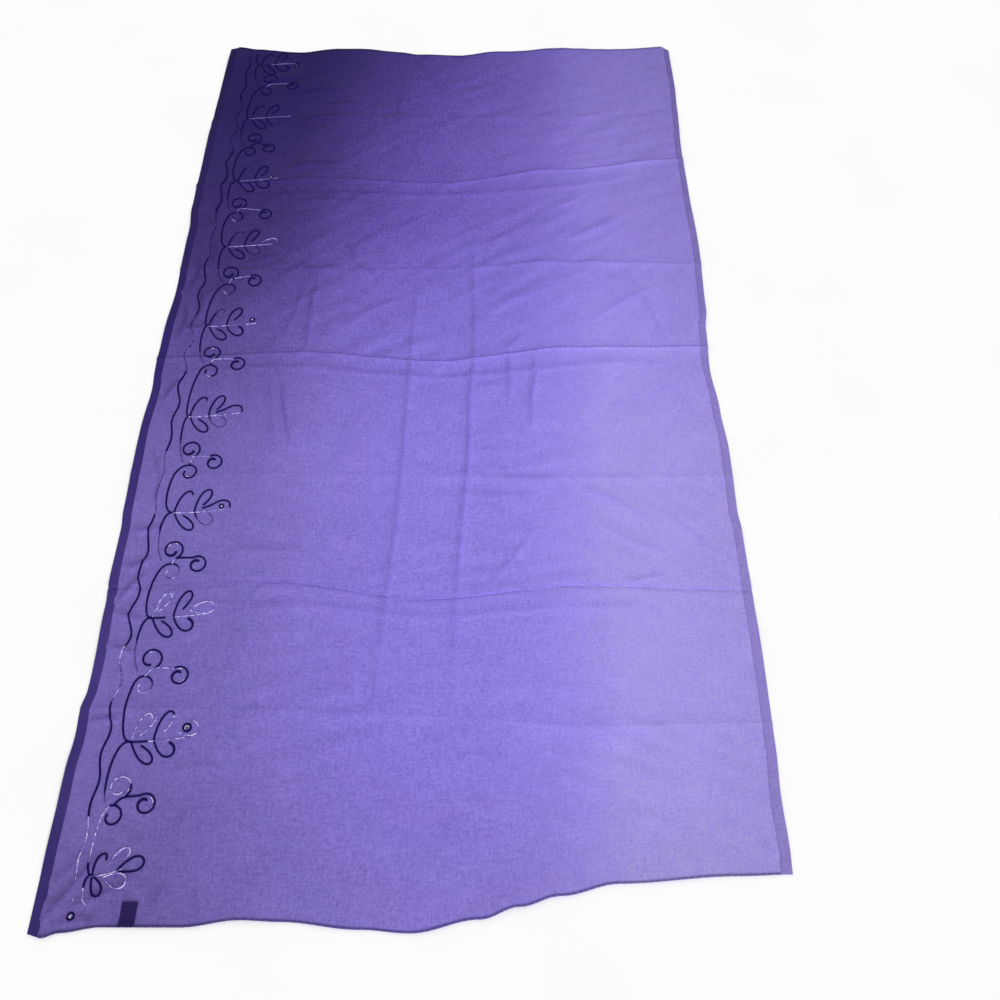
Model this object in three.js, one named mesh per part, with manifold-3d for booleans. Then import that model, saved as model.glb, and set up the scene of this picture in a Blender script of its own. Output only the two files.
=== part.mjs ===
// A sarong laid out flat: one open rectangle of sheer dyed voile with four hemmed edges, a bare
// woven tab at the near hem and a corded vine border down the left side.
//
// Millimetres, +Z up. The origin is on the surface that the cloth lies on, under the centre of the
// cloth. +X runs across the cloth to its plain side, +Y along it to its far end.

import * as THREE from "three";
import Module from "manifold-3d";

const wasm = await Module();
wasm.setup();

// ---------------------------------------------------------------- driving dimensions

const HALF_WIDTH = 533; // of the cloth, before the wander of its side edges
const WALL = 1.0; // the panel's wall
const GAP = 0.3; // between pieces that touch
const HEM_WALL = 1.2; // the turned cloth of a hem, over the panel
const LEFT_HEM = 15; // width of the turned hem on the border side
const RIGHT_HEM = { near: 15, far: 10 }; // the plain side's hem narrows towards the far end
const ROLLED_HEM = 4; // width of the rolled hems at both ends
const TAB = { x: -398.5, width: 22, length: 32, wall: 0.8, bridge: 3 };
const CORD = { width: 2.8, rise: 1.2, taper: 0.5, step: 8 };
// The trail swings by so much each way, and that swing itself grows and shrinks by its surge
const TRAIL = {
  x: -480.5,
  swing: 3.6,
  wave: 76,
  surge: 1.5,
  surgeWave: 610,
  width: 2,
  near: -930,
  far: 930,
  step: 9,
};

// How far each side edge wanders out from HALF_WIDTH, near to far
const LEFT_EDGE = [
  { y: -966, out: -2 },
  { y: -888, out: 2 },
  { y: -750, out: 1 },
  { y: -705, out: -2 },
  { y: -657, out: 0 },
  { y: -626, out: -5 },
  { y: -595, out: -6 },
  { y: -490, out: -3 },
  { y: -420, out: 1 },
  { y: -345, out: 1 },
  { y: -304, out: 4 },
  { y: -138, out: 7 },
  { y: -48, out: 3 },
  { y: 0, out: 6 },
  { y: 98, out: 5 },
  { y: 200, out: 0 },
  { y: 310, out: 2 },
  { y: 366, out: 1 },
  { y: 430, out: 7 },
  { y: 612, out: 7 },
  { y: 815, out: 4 },
  { y: 965, out: 0 },
];
const RIGHT_EDGE = [
  { y: -895, out: 4 },
  { y: -861, out: 5 },
  { y: -790, out: 3 },
  { y: -718, out: 6 },
  { y: -592, out: 7 },
  { y: -456, out: 5 },
  { y: -345, out: 3 },
  { y: -304, out: 0 },
  { y: -182, out: 1 },
  { y: -94, out: -5 },
  { y: 0, out: -13 },
  { y: 97, out: -10 },
  { y: 147, out: -4 },
  { y: 310, out: 0 },
  { y: 484, out: -5 },
  { y: 612, out: -8 },
  { y: 745, out: -4 },
  { y: 816, out: -2 },
  { y: 965, out: -5 },
];

// The y of each end edge, left to right: the near end runs off square, the far end scallops
const NEAR_EDGE = [
  { x: -533, y: -962 },
  { x: -514, y: -976.5 },
  { x: -489, y: -970 },
  { x: -435, y: -963 },
  { x: -324, y: -963 },
  { x: -242, y: -954 },
  { x: -186, y: -956 },
  { x: -74, y: -966 },
  { x: -5, y: -970.5 },
  { x: 92, y: -953 },
  { x: 148, y: -937 },
  { x: 205, y: -923 },
  { x: 290, y: -907 },
  { x: 461, y: -897 },
  { x: 534, y: -895 },
];
const FAR_EDGE = [
  { x: -533, y: 970 },
  { x: -514, y: 976.5 },
  { x: -463, y: 968 },
  { x: -365, y: 957 },
  { x: -269, y: 972 },
  { x: -220, y: 972 },
  { x: -122, y: 957 },
  { x: -74, y: 949 },
  { x: 23, y: 945 },
  { x: 120, y: 961 },
  { x: 290, y: 972 },
  { x: 388, y: 968 },
  { x: 514, y: 976.5 },
  { x: 533, y: 964 },
];

// Folds across the cloth, near to far, left by storing it folded in eighths. Each row gives the
// fold's y and its rise at the five CROSSINGS, and how far its flanks reach.
const CROSSINGS = [-520, -260, 0, 260, 520];
const FOLDS = [
  { y: [-656, -658, -668, -684, -679], rise: [2.5, 2.5, 1.5, 2.5, 2.5], reach: 20, profile: "low" },
  { y: [-454, -443, -473, -449, -457], rise: [2.5, 4, 4.5, 4, 3.5], reach: 34, profile: "valley" },
  { y: [-236, -232, -240, -242, -238], rise: [1.5, 2, 2, 3, 2.5], reach: 20, profile: "low" },
  { y: [23, 37, 14, 48, 50], rise: [3, 4, 5, 5.5, 4.5], reach: 28, profile: "ridge" },
  { y: [252, 248, 252, 271, 267], rise: [1.5, 1.5, 2.5, 3, 3], reach: 20, profile: "low" },
  { y: [493, 512, 498, 540, 574], rise: [3, 4.5, 5, 6, 5.5], reach: 28, profile: "ridge" },
  { y: [700, 716, 713, 721, 716], rise: [2.5, 3, 2.5, 3, 2], reach: 20, profile: "low" },
];
// The rows of points that each profile needs, as shares of its reach
const PROFILE_ROWS = {
  ridge: [-1, -0.35, 0, 0.35, 1],
  valley: [-1, -0.3, 0, 0.3, 1],
  low: [-1, 0, 1],
};
const ROWS_BETWEEN = 2; // plain rows from one fold's foot to the next

// Softer folds along the cloth, near end to far end
const PLEATS = [
  { near: { x: 46, y: -650 }, far: { x: 62, y: 330 }, rise: 3, reach: 24 },
  { near: { x: -82, y: -700 }, far: { x: -48, y: 260 }, rise: 2.5, reach: 24 },
  { near: { x: -256, y: -185 }, far: { x: -290, y: -25 }, rise: 3.5, reach: 24 },
  { near: { x: -256, y: 60 }, far: { x: -252, y: 250 }, rise: 2.5, reach: 24 },
  { near: { x: 180, y: -60 }, far: { x: 235, y: 20 }, rise: 2, reach: 30 },
];

// The panel's columns of points between the two side hems
const COLUMNS = [
  -478, -430, -384, -340, -300, -276, -252, -225, -185, -148, -112, -84, -58, -32, 10, 38, 60, 82,
  130, 180, 235, 300, 360, 420, 478,
];

// The border's motifs, far to near: the joint where the leaves spring, then, from that joint, the
// head where the stem starts, the centres of the crown and of the curl, and the foot where the
// tail would end. bow is how far stem and tail bow out to the left, and cut the share of the stem
// that the cloth's end cuts off.
const MOTIFS = [
  { x: -452, y: 903, head: [14, 105], crown: null, curl: null, foot: [22, -78], bow: 19, cut: 0.56 },
  { x: -450, y: 713, head: [20, 110], crown: [26, 136], curl: [82, 112], foot: [11, -98], bow: 21, cut: 0 },
  { x: -450, y: 510, head: [11, 105], crown: [16, 135], curl: [52, 102], foot: [10, -96], bow: 21, cut: 0 },
  { x: -444, y: 315, head: [4, 100], crown: [4, 125], curl: [64, 93], foot: [17, -102], bow: 21, cut: 0 },
  { x: -450, y: 103, head: [23, 110], crown: [21, 138], curl: [72, 118], foot: [18, -95], bow: 19, cut: 0 },
  { x: -452, y: -110, head: [20, 118], crown: [17, 146], curl: [70, 120], foot: [17, -105], bow: 17, cut: 0 },
  { x: -445, y: -312, head: [10, 97], crown: [6, 130], curl: [52, 103], foot: [11, -97], bow: 24, cut: 0 },
  { x: -447, y: -506, head: [15, 97], crown: [12, 122], curl: [57, 96], foot: [8, -96], bow: 21, cut: 0 },
  { x: -442, y: -707, head: [2, 102], crown: [7, 130], curl: [55, 103], foot: [-9, -95], bow: 20, cut: 0 },
  { x: -459, y: -897, head: [10, 96], crown: [14, 122], curl: [56, 98], foot: [8, -40], bow: 13, cut: 0 },
];
const TAIL_DRAWN = 0.84; // the share of a tail that is drawn, short of the next motif
const BOW_POWER = 0.7;
const HEAD_RADIUS = 15;
const CROWN_RADIUS = 17;
const CURL_RADIUS = 15;
const FORK = { x: 34, y: 3 }; // where the right-hand leaves leave the stalk, from the joint
const NEAR_FORK = { x: 34, y: 7 };
// The last motif, at the near end, has a smaller spray than the others. Each leaf is an open loop:
// where it springs, the way it points, its size, which side it is drawn first (+1 left of its
// axis) and how much of the loop is drawn, in half turns
const FULL_SPRAY = {
  stalkEnd: { x: 90, y: 8 },
  leaves: [
    { root: { x: 0, y: 0 }, angle: -42, length: 48, width: 17, side: -1, drawn: 1.6 },
    { root: { x: 0, y: 0 }, angle: 62, length: 48, width: 16, side: 1, drawn: 1.2 },
    { root: FORK, angle: 63, length: 48, width: 17, side: 1, drawn: 1.6 },
    { root: FORK, angle: -34, length: 39, width: 21, side: -1, drawn: 1.45 },
  ],
};
const NEAR_SPRAY = {
  stalkEnd: { x: 40, y: 9 },
  leaves: [
    { root: { x: 0, y: 0 }, angle: 66, length: 32, width: 12, side: 1, drawn: 1.3 },
    { root: { x: 0, y: 0 }, angle: -62, length: 30, width: 14, side: 1, drawn: 1.85 },
    { root: NEAR_FORK, angle: 21, length: 38, width: 19, side: 1, drawn: 1.85 },
  ],
};

const COLOURS = {
  voile: 0x8473cb,
  turned_hem: 0x3a2a86,
  rolled_hem: 0x2e2072,
  tab: 0x261955,
  cord: 0x1e0a50,
};

// ---------------------------------------------------------------- interpolation

const mix = (a, b, share) => a + (b - a) * share;
const easing = (share) => (1 - Math.cos(Math.PI * share)) / 2;
const degrees = THREE.MathUtils.degToRad;

// The value of a table at a place, eased between the two rows on either side of it.
function lookUp(table, placeColumn, valueColumn, place) {
  const next = table.findIndex((row) => row[placeColumn] >= place);
  if (next === 0) return table[0][valueColumn];
  if (next < 0) return table.at(-1)[valueColumn];
  const [before, after] = [table[next - 1], table[next]];
  const share = (place - before[placeColumn]) / (after[placeColumn] - before[placeColumn]);
  return mix(before[valueColumn], after[valueColumn], easing(share));
}

// The value at x of a quantity that a fold gives at the five crossings.
function acrossCloth(values, x) {
  const rows = CROSSINGS.map((at, k) => ({ at, value: values[k] }));
  return lookUp(rows, "at", "value", x);
}

const leftEdge = (y) => -HALF_WIDTH - lookUp(LEFT_EDGE, "y", "out", y);
const rightEdge = (y) => HALF_WIDTH + lookUp(RIGHT_EDGE, "y", "out", y);
const nearEdge = (x) => lookUp(NEAR_EDGE, "x", "y", x);
const farEdge = (x) => lookUp(FAR_EDGE, "x", "y", x);

// ---------------------------------------------------------------- the lie of the cloth

// The height of a fold over a share t of its reach from its line.
const PROFILES = {
  ridge: (t) => (1 - t) ** 1.6,
  low: (t) => (1 - t) ** 1.6,
  valley: (t) => (1 - t * t) ** 2 - Math.max(0, 1 - t / 0.3),
};

function foldLift(fold, x, y) {
  const t = Math.abs(y - acrossCloth(fold.y, x)) / fold.reach;
  return t < 1 ? acrossCloth(fold.rise, x) * PROFILES[fold.profile](t) : 0;
}

// A pleat's height: a ridge along the line from its near to its far end, which dies out at both.
function pleatLift(pleat, x, y) {
  const share = (y - pleat.near.y) / (pleat.far.y - pleat.near.y);
  const t = Math.abs(x - mix(pleat.near.x, pleat.far.x, share)) / pleat.reach;
  if (share <= 0 || share >= 1 || t >= 1) return 0;
  return pleat.rise * Math.sqrt(Math.sin(Math.PI * share)) * PROFILES.ridge(t);
}

// How far the cloth's underside stands clear of the surface that it lies on.
function lift(x, y) {
  const folds = FOLDS.map((fold) => foldLift(fold, x, y));
  const pleats = PLEATS.map((pleat) => pleatLift(pleat, x, y));
  return Math.max(...folds, ...pleats);
}

// The rows of the panel's grid, near to far, each a function that gives its y at x.
function rowLines() {
  const bundles = [
    [nearEdge, (x) => nearEdge(x) + ROLLED_HEM],
    ...FOLDS.map((fold) =>
      PROFILE_ROWS[fold.profile].map((share) => (x) => acrossCloth(fold.y, x) + share * fold.reach),
    ),
    [(x) => farEdge(x) - ROLLED_HEM, farEdge],
  ];
  return bundles.flatMap((bundle, k) => {
    const next = bundles[k + 1];
    if (!next) return bundle;
    const plain = Array.from({ length: ROWS_BETWEEN }, (_, n) => (x) => {
      return mix(bundle.at(-1)(x), next[0](x), (n + 1) / (ROWS_BETWEEN + 1));
    });
    return [...bundle, ...plain];
  });
}

// The panel's upper points, row by row: the side edge, the hem's inner line, the columns between.
function clothGrid() {
  return rowLines().map((line) => {
    const yLeft = line(-HALF_WIDTH);
    const yRight = line(HALF_WIDTH);
    const rightHem = mix(RIGHT_HEM.near, RIGHT_HEM.far, (yRight - nearEdge(0)) / (farEdge(0) - nearEdge(0)));
    const xs = [
      leftEdge(yLeft),
      leftEdge(yLeft) + LEFT_HEM,
      ...COLUMNS,
      rightEdge(yRight) - rightHem,
      rightEdge(yRight),
    ];
    return xs.map((x) => new THREE.Vector3(x, line(x), lift(x, line(x)) + WALL));
  });
}

const CLOTH = clothGrid();

// The height of the panel's upper face at a place between the side hems, on its own triangles.
function clothTop(x, y) {
  const first = CLOTH[0].findIndex((point, k) => k > 1 && point.x >= x) - 1;
  const share = (x - CLOTH[0][first].x) / (CLOTH[0][first + 1].x - CLOTH[0][first].x);
  const onRow = (row) => CLOTH[row][first].clone().lerp(CLOTH[row][first + 1], share);
  const above = CLOTH.findIndex((_, row) => row > 0 && (onRow(row).y >= y || row === CLOTH.length - 1));
  const diagonal = CLOTH[above - 1][first].clone().lerp(CLOTH[above][first + 1], share);
  const [low, high] = y < diagonal.y ? [onRow(above - 1), diagonal] : [diagonal, onRow(above)];
  return mix(low.z, high.z, (y - low.y) / (high.y - low.y));
}

// The highest point of the cloth within a radius of a place, on two rings of eight.
function clothTopNear(place, radius) {
  const heights = [clothTop(place.x, place.y)];
  for (let k = 0; k < 8; k++) {
    const spoke = new THREE.Vector2(radius, 0).rotateAround(new THREE.Vector2(), degrees(45 * k));
    heights.push(clothTop(place.x + spoke.x, place.y + spoke.y));
    heights.push(clothTop(place.x + spoke.x / 2, place.y + spoke.y / 2));
  }
  return Math.max(...heights);
}

// ---------------------------------------------------------------- solids

function geometryOf(points, index) {
  const geometry = new THREE.BufferGeometry().setFromPoints(points);
  geometry.setIndex(index);
  return geometry;
}

// A closed wall between an upper and a lower grid of points of the same size, near row first and
// left point first.
function wall(upper, lower) {
  const rows = upper.length;
  const columns = upper[0].length;
  const under = rows * columns; // the first lower point's index
  const at = (i, j) => i * columns + j;
  const index = [];
  for (let i = 0; i < rows - 1; i++) {
    for (let j = 0; j < columns - 1; j++) {
      const [a, b, c, d] = [at(i, j), at(i, j + 1), at(i + 1, j + 1), at(i + 1, j)];
      index.push(a, b, c, a, c, d);
      index.push(under + a, under + c, under + b, under + a, under + d, under + c);
    }
  }
  const rim = [];
  for (let j = 0; j < columns - 1; j++) rim.push(at(0, j));
  for (let i = 0; i < rows - 1; i++) rim.push(at(i, columns - 1));
  for (let j = columns - 1; j > 0; j--) rim.push(at(rows - 1, j));
  for (let i = rows - 1; i > 0; i--) rim.push(at(i, 0));
  rim.forEach((p, k) => {
    const q = rim[(k + 1) % rim.length];
    index.push(under + p, under + q, q, under + p, q, p);
  });
  return geometryOf([...upper.flat(), ...lower.flat()], index);
}

// A closed solid through rings of three points, with a triangle at each end.
function loft(rings) {
  const index = [0, 1, 2];
  for (let k = 0; k < rings.length - 1; k++) {
    for (let side = 0; side < 3; side++) {
      const [a, b] = [3 * k + side, 3 * k + ((side + 1) % 3)];
      index.push(a, a + 3, b, b, a + 3, b + 3);
    }
  }
  const last = 3 * (rings.length - 1);
  index.push(last, last + 2, last + 1);
  return geometryOf(rings.flat(), index);
}

// Several solids that meet, as one.
function joined(geometries) {
  const solids = geometries.map((geometry) => {
    const vertProperties = geometry.attributes.position.array;
    const triVerts = new Uint32Array(geometry.index.array);
    return new wasm.Manifold(new wasm.Mesh({ numProp: 3, vertProperties, triVerts }));
  });
  const { vertProperties, triVerts } = solids.reduce((sum, next) => sum.add(next)).getMesh();
  const geometry = new THREE.BufferGeometry();
  geometry.setAttribute("position", new THREE.BufferAttribute(vertProperties, 3));
  geometry.setIndex(new THREE.BufferAttribute(triVerts, 1));
  return geometry;
}

const raised = (grid, height) => grid.map((row) => row.map((p) => p.clone().setZ(p.z + height)));

// A strip of cloth that lies on part of the panel's own grid.
function layer(grid, thickness) {
  return wall(raised(grid, GAP + thickness), raised(grid, GAP));
}

// A raised cord of triangular section along a path on the cloth, tapered at both ends.
function cord(path, width, step) {
  const rings = path.map((place, k) => {
    const ahead = path[Math.min(k + 1, path.length - 1)];
    const behind = path[Math.max(k - 1, 0)];
    const atEnd = k === 0 || k === path.length - 1;
    const half = (width / 2) * (atEnd ? CORD.taper : 1);
    const side = ahead.clone().sub(behind).setLength(half);
    const left = new THREE.Vector2(place.x - side.y, place.y + side.x);
    const right = new THREE.Vector2(place.x + side.y, place.y - side.x);
    const base = clothTopNear(place, step + half) + GAP;
    return [
      new THREE.Vector3(left.x, left.y, base),
      new THREE.Vector3(right.x, right.y, base),
      new THREE.Vector3(place.x, place.y, base + CORD.rise),
    ];
  });
  return loft(rings);
}

// ---------------------------------------------------------------- the vine's lines

// Points of a curve given as a function of a share from 0 to 1, spaced for its rough length.
function sampled(length, curve) {
  const steps = Math.max(2, Math.round(length / CORD.step));
  return Array.from({ length: steps + 1 }, (_, k) => curve(k / steps));
}

// A spiral that tightens as it turns from a start angle through a sweep, in degrees.
function spiral(centre, radius, startAngle, sweep) {
  const length = radius * degrees(Math.abs(sweep)) * 0.8;
  return sampled(length, (share) => {
    const spoke = radius * (1 - 0.62 * share * share);
    const angle = degrees(startAngle + sweep * share);
    return new THREE.Vector2(centre[0] + spoke * Math.cos(angle), centre[1] + spoke * Math.sin(angle));
  });
}

// A stem that leaves one point level, bows out to the left and comes in level at the other. The
// power below one keeps the bow broad, with tight turns at its ends.
function bowed(from, to, bow, firstShare, lastShare) {
  return sampled(130 * (lastShare - firstShare), (share) => {
    const s = mix(firstShare, lastShare, share);
    const x = mix(from[0], to[0], s) - bow * Math.max(Math.sin(Math.PI * s), 0) ** BOW_POWER;
    return new THREE.Vector2(x, mix(from[1], to[1], easing(s)));
  });
}

// A leaf drawn as a teardrop that starts at its root, rounds its tip and stops on the way back.
function leafLoop({ root, angle, length, width, side, drawn }) {
  return sampled(length * drawn * 1.15, (share) => {
    const turn = Math.PI * drawn * share;
    const along = length * easing(turn / Math.PI);
    const across = side * (width / 2) * 1.3 * Math.sin(turn) * Math.sin(turn / 2);
    const place = new THREE.Vector2(along, across);
    return place.rotateAround(new THREE.Vector2(), degrees(angle)).add(new THREE.Vector2(root.x, root.y));
  });
}

// All the strokes of one motif, from its joint.
function motifStrokes({ head, crown, curl, foot, bow, cut }, { stalkEnd, leaves }) {
  const joint = [0, 0];
  const stalk = new THREE.QuadraticBezierCurve(
    new THREE.Vector2(-3, -1),
    new THREE.Vector2(stalkEnd.x / 2, stalkEnd.y / 2 - 4),
    new THREE.Vector2(stalkEnd.x, stalkEnd.y),
  );
  const strokes = [
    bowed(head, joint, bow, cut, 1),
    bowed(joint, foot, bow, 0, TAIL_DRAWN),
    sampled(stalk.getLength(), (share) => stalk.getPoint(share)),
    ...leaves.map(leafLoop),
  ];
  if (crown) {
    const crownLine = spiral(crown, CROWN_RADIUS, -62, 400);
    const curlLine = spiral(curl, CURL_RADIUS, 125, -420);
    const link = new THREE.SplineCurve([new THREE.Vector2(...head), crownLine[0], curlLine[0]]);
    strokes.push(crownLine, curlLine);
    strokes.push(sampled(link.getLength(), (share) => link.getPoint(share)));
    strokes.push(spiral([head[0], head[1] - HEAD_RADIUS], HEAD_RADIUS, 90, -290));
  }
  return strokes;
}

function motif(row) {
  const at = new THREE.Vector2(row.x, row.y);
  const strokes = motifStrokes(row, row === MOTIFS.at(-1) ? NEAR_SPRAY : FULL_SPRAY);
  const paths = strokes.map((stroke) => stroke.map((place) => place.clone().add(at)));
  return joined(paths.map((path) => cord(path, CORD.width, CORD.step)));
}

// The plain line that winds down between the hem and the motifs.
function trail() {
  const steps = Math.round((TRAIL.far - TRAIL.near) / TRAIL.step);
  const path = Array.from({ length: steps + 1 }, (_, k) => {
    const y = mix(TRAIL.near, TRAIL.far, k / steps);
    const swing = TRAIL.swing + TRAIL.surge * Math.sin((2 * Math.PI * y) / TRAIL.surgeWave + 1);
    const x = TRAIL.x + swing * Math.sin((2 * Math.PI * y) / TRAIL.wave + degrees(115));
    return new THREE.Vector2(x, y);
  });
  return cord(path, TRAIL.width, TRAIL.step);
}

// ---------------------------------------------------------------- panel, hems and tab

const panel = () => wall(CLOTH, raised(CLOTH, -WALL));
const leftHem = () => layer(CLOTH.map((row) => row.slice(0, 2)), HEM_WALL);
const rightHem = () => layer(CLOTH.map((row) => row.slice(-2)), HEM_WALL);

// A rolled hem lies on two rows of the grid, between the side hems.
function rolledHem(rows) {
  const grid = rows.map((row) => {
    const between = row.slice(1, -1).map((point) => point.clone());
    between[0].x += GAP;
    between.at(-1).x -= GAP;
    return between;
  });
  return layer(grid, HEM_WALL);
}

// The tab lies over the near hem and then down on the panel.
function tab() {
  const edge = nearEdge(TAB.x);
  const overHem = GAP + HEM_WALL;
  const rows = [
    { y: edge + GAP, over: overHem },
    { y: edge + ROLLED_HEM + GAP, over: overHem },
    { y: edge + ROLLED_HEM + GAP + TAB.bridge, over: 0 },
    { y: edge + TAB.length, over: 0 },
  ];
  const grid = rows.map(({ y, over }) =>
    [-0.5, 0.5].map((side) => {
      const x = TAB.x + side * TAB.width;
      return new THREE.Vector3(x, y, clothTop(x, y) + over);
    }),
  );
  return layer(grid, TAB.wall);
}

// ---------------------------------------------------------------- the sarong

const finish = (colour, roughness) =>
  new THREE.MeshStandardMaterial({ color: colour, roughness, metalness: 0 });
const MATERIALS = {
  voile: finish(COLOURS.voile, 0.9),
  turned_hem: finish(COLOURS.turned_hem, 0.9),
  rolled_hem: finish(COLOURS.rolled_hem, 0.9),
  tab: finish(COLOURS.tab, 0.7),
  cord: finish(COLOURS.cord, 0.5),
};

const sarong = new THREE.Group();
sarong.name = "sarong";

function add(name, geometry, material) {
  const mesh = new THREE.Mesh(geometry, material);
  mesh.name = name;
  sarong.add(mesh);
}

add("cloth_panel", panel(), MATERIALS.voile);
add("left_hem", leftHem(), MATERIALS.turned_hem);
add("right_hem", rightHem(), MATERIALS.turned_hem);
add("near_rolled_hem", rolledHem(CLOTH.slice(0, 2)), MATERIALS.rolled_hem);
add("far_rolled_hem", rolledHem(CLOTH.slice(-2)), MATERIALS.rolled_hem);
add("woven_tab", tab(), MATERIALS.tab);
add("vine_trail", trail(), MATERIALS.cord);
MOTIFS.forEach((row, k) => {
  add(`vine_motif_${String(k + 1).padStart(2, "0")}`, motif(row), MATERIALS.cord);
});

export default sarong;
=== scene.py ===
# %% [markdown]
# # A sarong laid out flat
#
# The real thing is one rectangle of sheer cotton voile, dyed from deep violet at one side to pale
# lilac at the other. Its long sides are turned and stitched, its ends are rolled and whipped, a
# bare woven tab is caught in one end, and a vine in corded chain stitch and silver thread runs
# down the dark side. It was stored folded, so pressed folds still cross it.
#
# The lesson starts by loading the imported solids. They stay where they are, and every piece made
# here is worked out from the same sizes, so it lands on them without any fitting.

import bpy
import numpy as np
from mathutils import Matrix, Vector


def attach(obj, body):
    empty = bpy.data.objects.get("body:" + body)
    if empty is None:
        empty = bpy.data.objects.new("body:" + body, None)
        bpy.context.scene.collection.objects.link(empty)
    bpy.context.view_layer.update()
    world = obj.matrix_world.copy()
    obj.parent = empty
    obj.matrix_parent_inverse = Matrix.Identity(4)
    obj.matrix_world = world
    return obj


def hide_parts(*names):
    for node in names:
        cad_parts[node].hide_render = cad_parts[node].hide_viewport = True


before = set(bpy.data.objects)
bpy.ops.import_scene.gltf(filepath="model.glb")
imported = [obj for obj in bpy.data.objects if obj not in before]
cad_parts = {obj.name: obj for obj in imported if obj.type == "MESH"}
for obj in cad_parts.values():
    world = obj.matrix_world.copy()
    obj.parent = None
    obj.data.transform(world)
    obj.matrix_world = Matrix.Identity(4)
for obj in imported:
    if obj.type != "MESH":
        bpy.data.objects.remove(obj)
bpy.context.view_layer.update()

# %% [markdown]
# ## Sizes
#
# Blender works in metres and a maker in millimetres. The tables stay in millimetres, because
# round numbers are easy to check against a ruler, and one factor turns them over at the last step.

# %% Driving sizes, in millimetres
MM = 0.001
HALF_WIDTH = 533
WALL = 1.0
GAP = 0.3
LEFT_HEM = 15
RIGHT_HEM = {"near": 15, "far": 10}
ROLLED_HEM = 4
TAB = {"x": -398.5, "width": 22, "length": 32, "wall": 0.8, "bridge": 3}
TRAIL = {"x": -480.5, "swing": 3.6, "wave": 76, "surge": 1.5, "surge_wave": 610}
TRAIL |= {"near": -930, "far": 930}


def table(columns, *rows):
    """A short table with named columns, as one array for each name."""
    return dict(zip(columns.split(), np.array(rows, float).T))


def mix(low, high, share):
    """low at share 0, high at share 1, and straight between."""
    return low + (high - low) * share


# %% How far the four edges wander
LEFT_EDGE = table(
    "y out",
    (-966, 2), (-888, 2), (-750, 1), (-705, -2), (-657, 0), (-626, -5), (-595, -6), (-490, -3),
    (-420, 1), (-345, 1), (-304, 4), (-138, 7), (-48, 3), (0, 6), (98, 5), (200, 0), (310, 2),
    (366, 1), (430, 7), (612, 7), (815, 4), (965, 0),
)
RIGHT_EDGE = table(
    "y out",
    (-895, 4), (-861, 5), (-790, 3), (-718, 6), (-592, 7), (-456, 5), (-345, 3), (-304, 0),
    (-182, 1), (-94, -5), (0, -13), (97, -10), (147, -4), (310, 0), (484, -5), (612, -8),
    (745, -4), (816, -2), (965, -5),
)
NEAR_EDGE = table(
    "x y",
    (-533, -972), (-514, -976.5), (-489, -970), (-435, -963), (-324, -963), (-242, -954),
    (-186, -956), (-74, -966), (-5, -970.5), (92, -953), (148, -937), (205, -923), (290, -907),
    (461, -897), (534, -895),
)
FAR_EDGE = table(
    "x y",
    (-533, 970), (-514, 976.5), (-463, 968), (-365, 957), (-269, 972), (-220, 972), (-122, 957),
    (-74, 949), (23, 945), (120, 961), (290, 972), (388, 968), (514, 976.5), (533, 964),
)


def eased(rows, key, value, place):
    """A table's value at a place: a half cosine from the row before it to the row after it."""
    keys, values = rows[key], rows[value]
    after = np.clip(np.searchsorted(keys, place), 1, len(keys) - 1)
    share = np.clip((place - keys[after - 1]) / (keys[after] - keys[after - 1]), 0, 1)
    return mix(values[after - 1], values[after], (1 - np.cos(np.pi * share)) / 2)


# The tables are edges on the surface. A folded edge is round and stands a little above it, so each
# is drawn in by a few millimetres.
DRAWN_IN = {"left": 3.0, "right": 1.3, "far": 6.0}


def near_edge(x):
    """The y of the near end at x."""
    return eased(NEAR_EDGE, "x", "y", x)


def far_edge(x):
    """The y of the far end at x."""
    return eased(FAR_EDGE, "x", "y", x) - DRAWN_IN["far"]


def side_edge(side, y):
    """The x of a side edge at y; side is -1 for the left and 1 for the right."""
    if side < 0:
        return -HALF_WIDTH - eased(LEFT_EDGE, "y", "out", y) + DRAWN_IN["left"]
    return HALF_WIDTH + eased(RIGHT_EDGE, "y", "out", y) - DRAWN_IN["right"]


print("length at the left and right side:", [far_edge(x) - near_edge(x) for x in (-514, 514)], "mm")

# %% [markdown]
# ## The folds that cross it
#
# Cloth that is stored folded in eighths keeps a thin pressed edge at each fold, on top of a soft
# swell a few centimetres wide. Each row gives a fold's y and its rise at five crossings, near to
# far. crest is the height of the pressed edge as a share of the rise, and below nought where the
# cloth was folded the other way, so that the edge is a groove. Beside the three deepest folds runs
# a fainter second one, where the layers of the stack slipped.

# %% Fold table and the fold lines
CROSSINGS = [-520, -260, 0, 260, 520]
FOLDS = [
    {"y": [-656, -658, -668, -684, -679], "rise": [3.5, 2.5, 1.5, 2.5, 2.5], "reach": 20, "crest": 0.22},
    {"y": [-454, -443, -473, -449, -457], "rise": [4, 4.5, 4.5, 4, 3.5], "reach": 34, "crest": -0.6},
    {"y": [-236, -232, -240, -242, -238], "rise": [2, 2, 2, 3, 2.5], "reach": 20, "crest": 0.2},
    {"y": [23, 37, 14, 48, 50], "rise": [4, 4, 5, 5.5, 4.5], "reach": 28, "crest": 0.7},
    {"y": [252, 248, 252, 271, 267], "rise": [3, 2.5, 2.5, 3, 3], "reach": 20, "crest": 0.38},
    {"y": [493, 512, 498, 540, 574], "rise": [5, 5.5, 5, 6, 5.5], "reach": 28, "crest": 0.8},
    {"y": [700, 716, 713, 721, 716], "rise": [4, 4, 2.5, 3, 2], "reach": 20, "crest": 0.32},
]
CREST_WIDTH = 2.8  # how far from its line a pressed edge falls to a third of its height
SWELL = 0.32  # the height of the soft swell as a share of the rise


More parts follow.
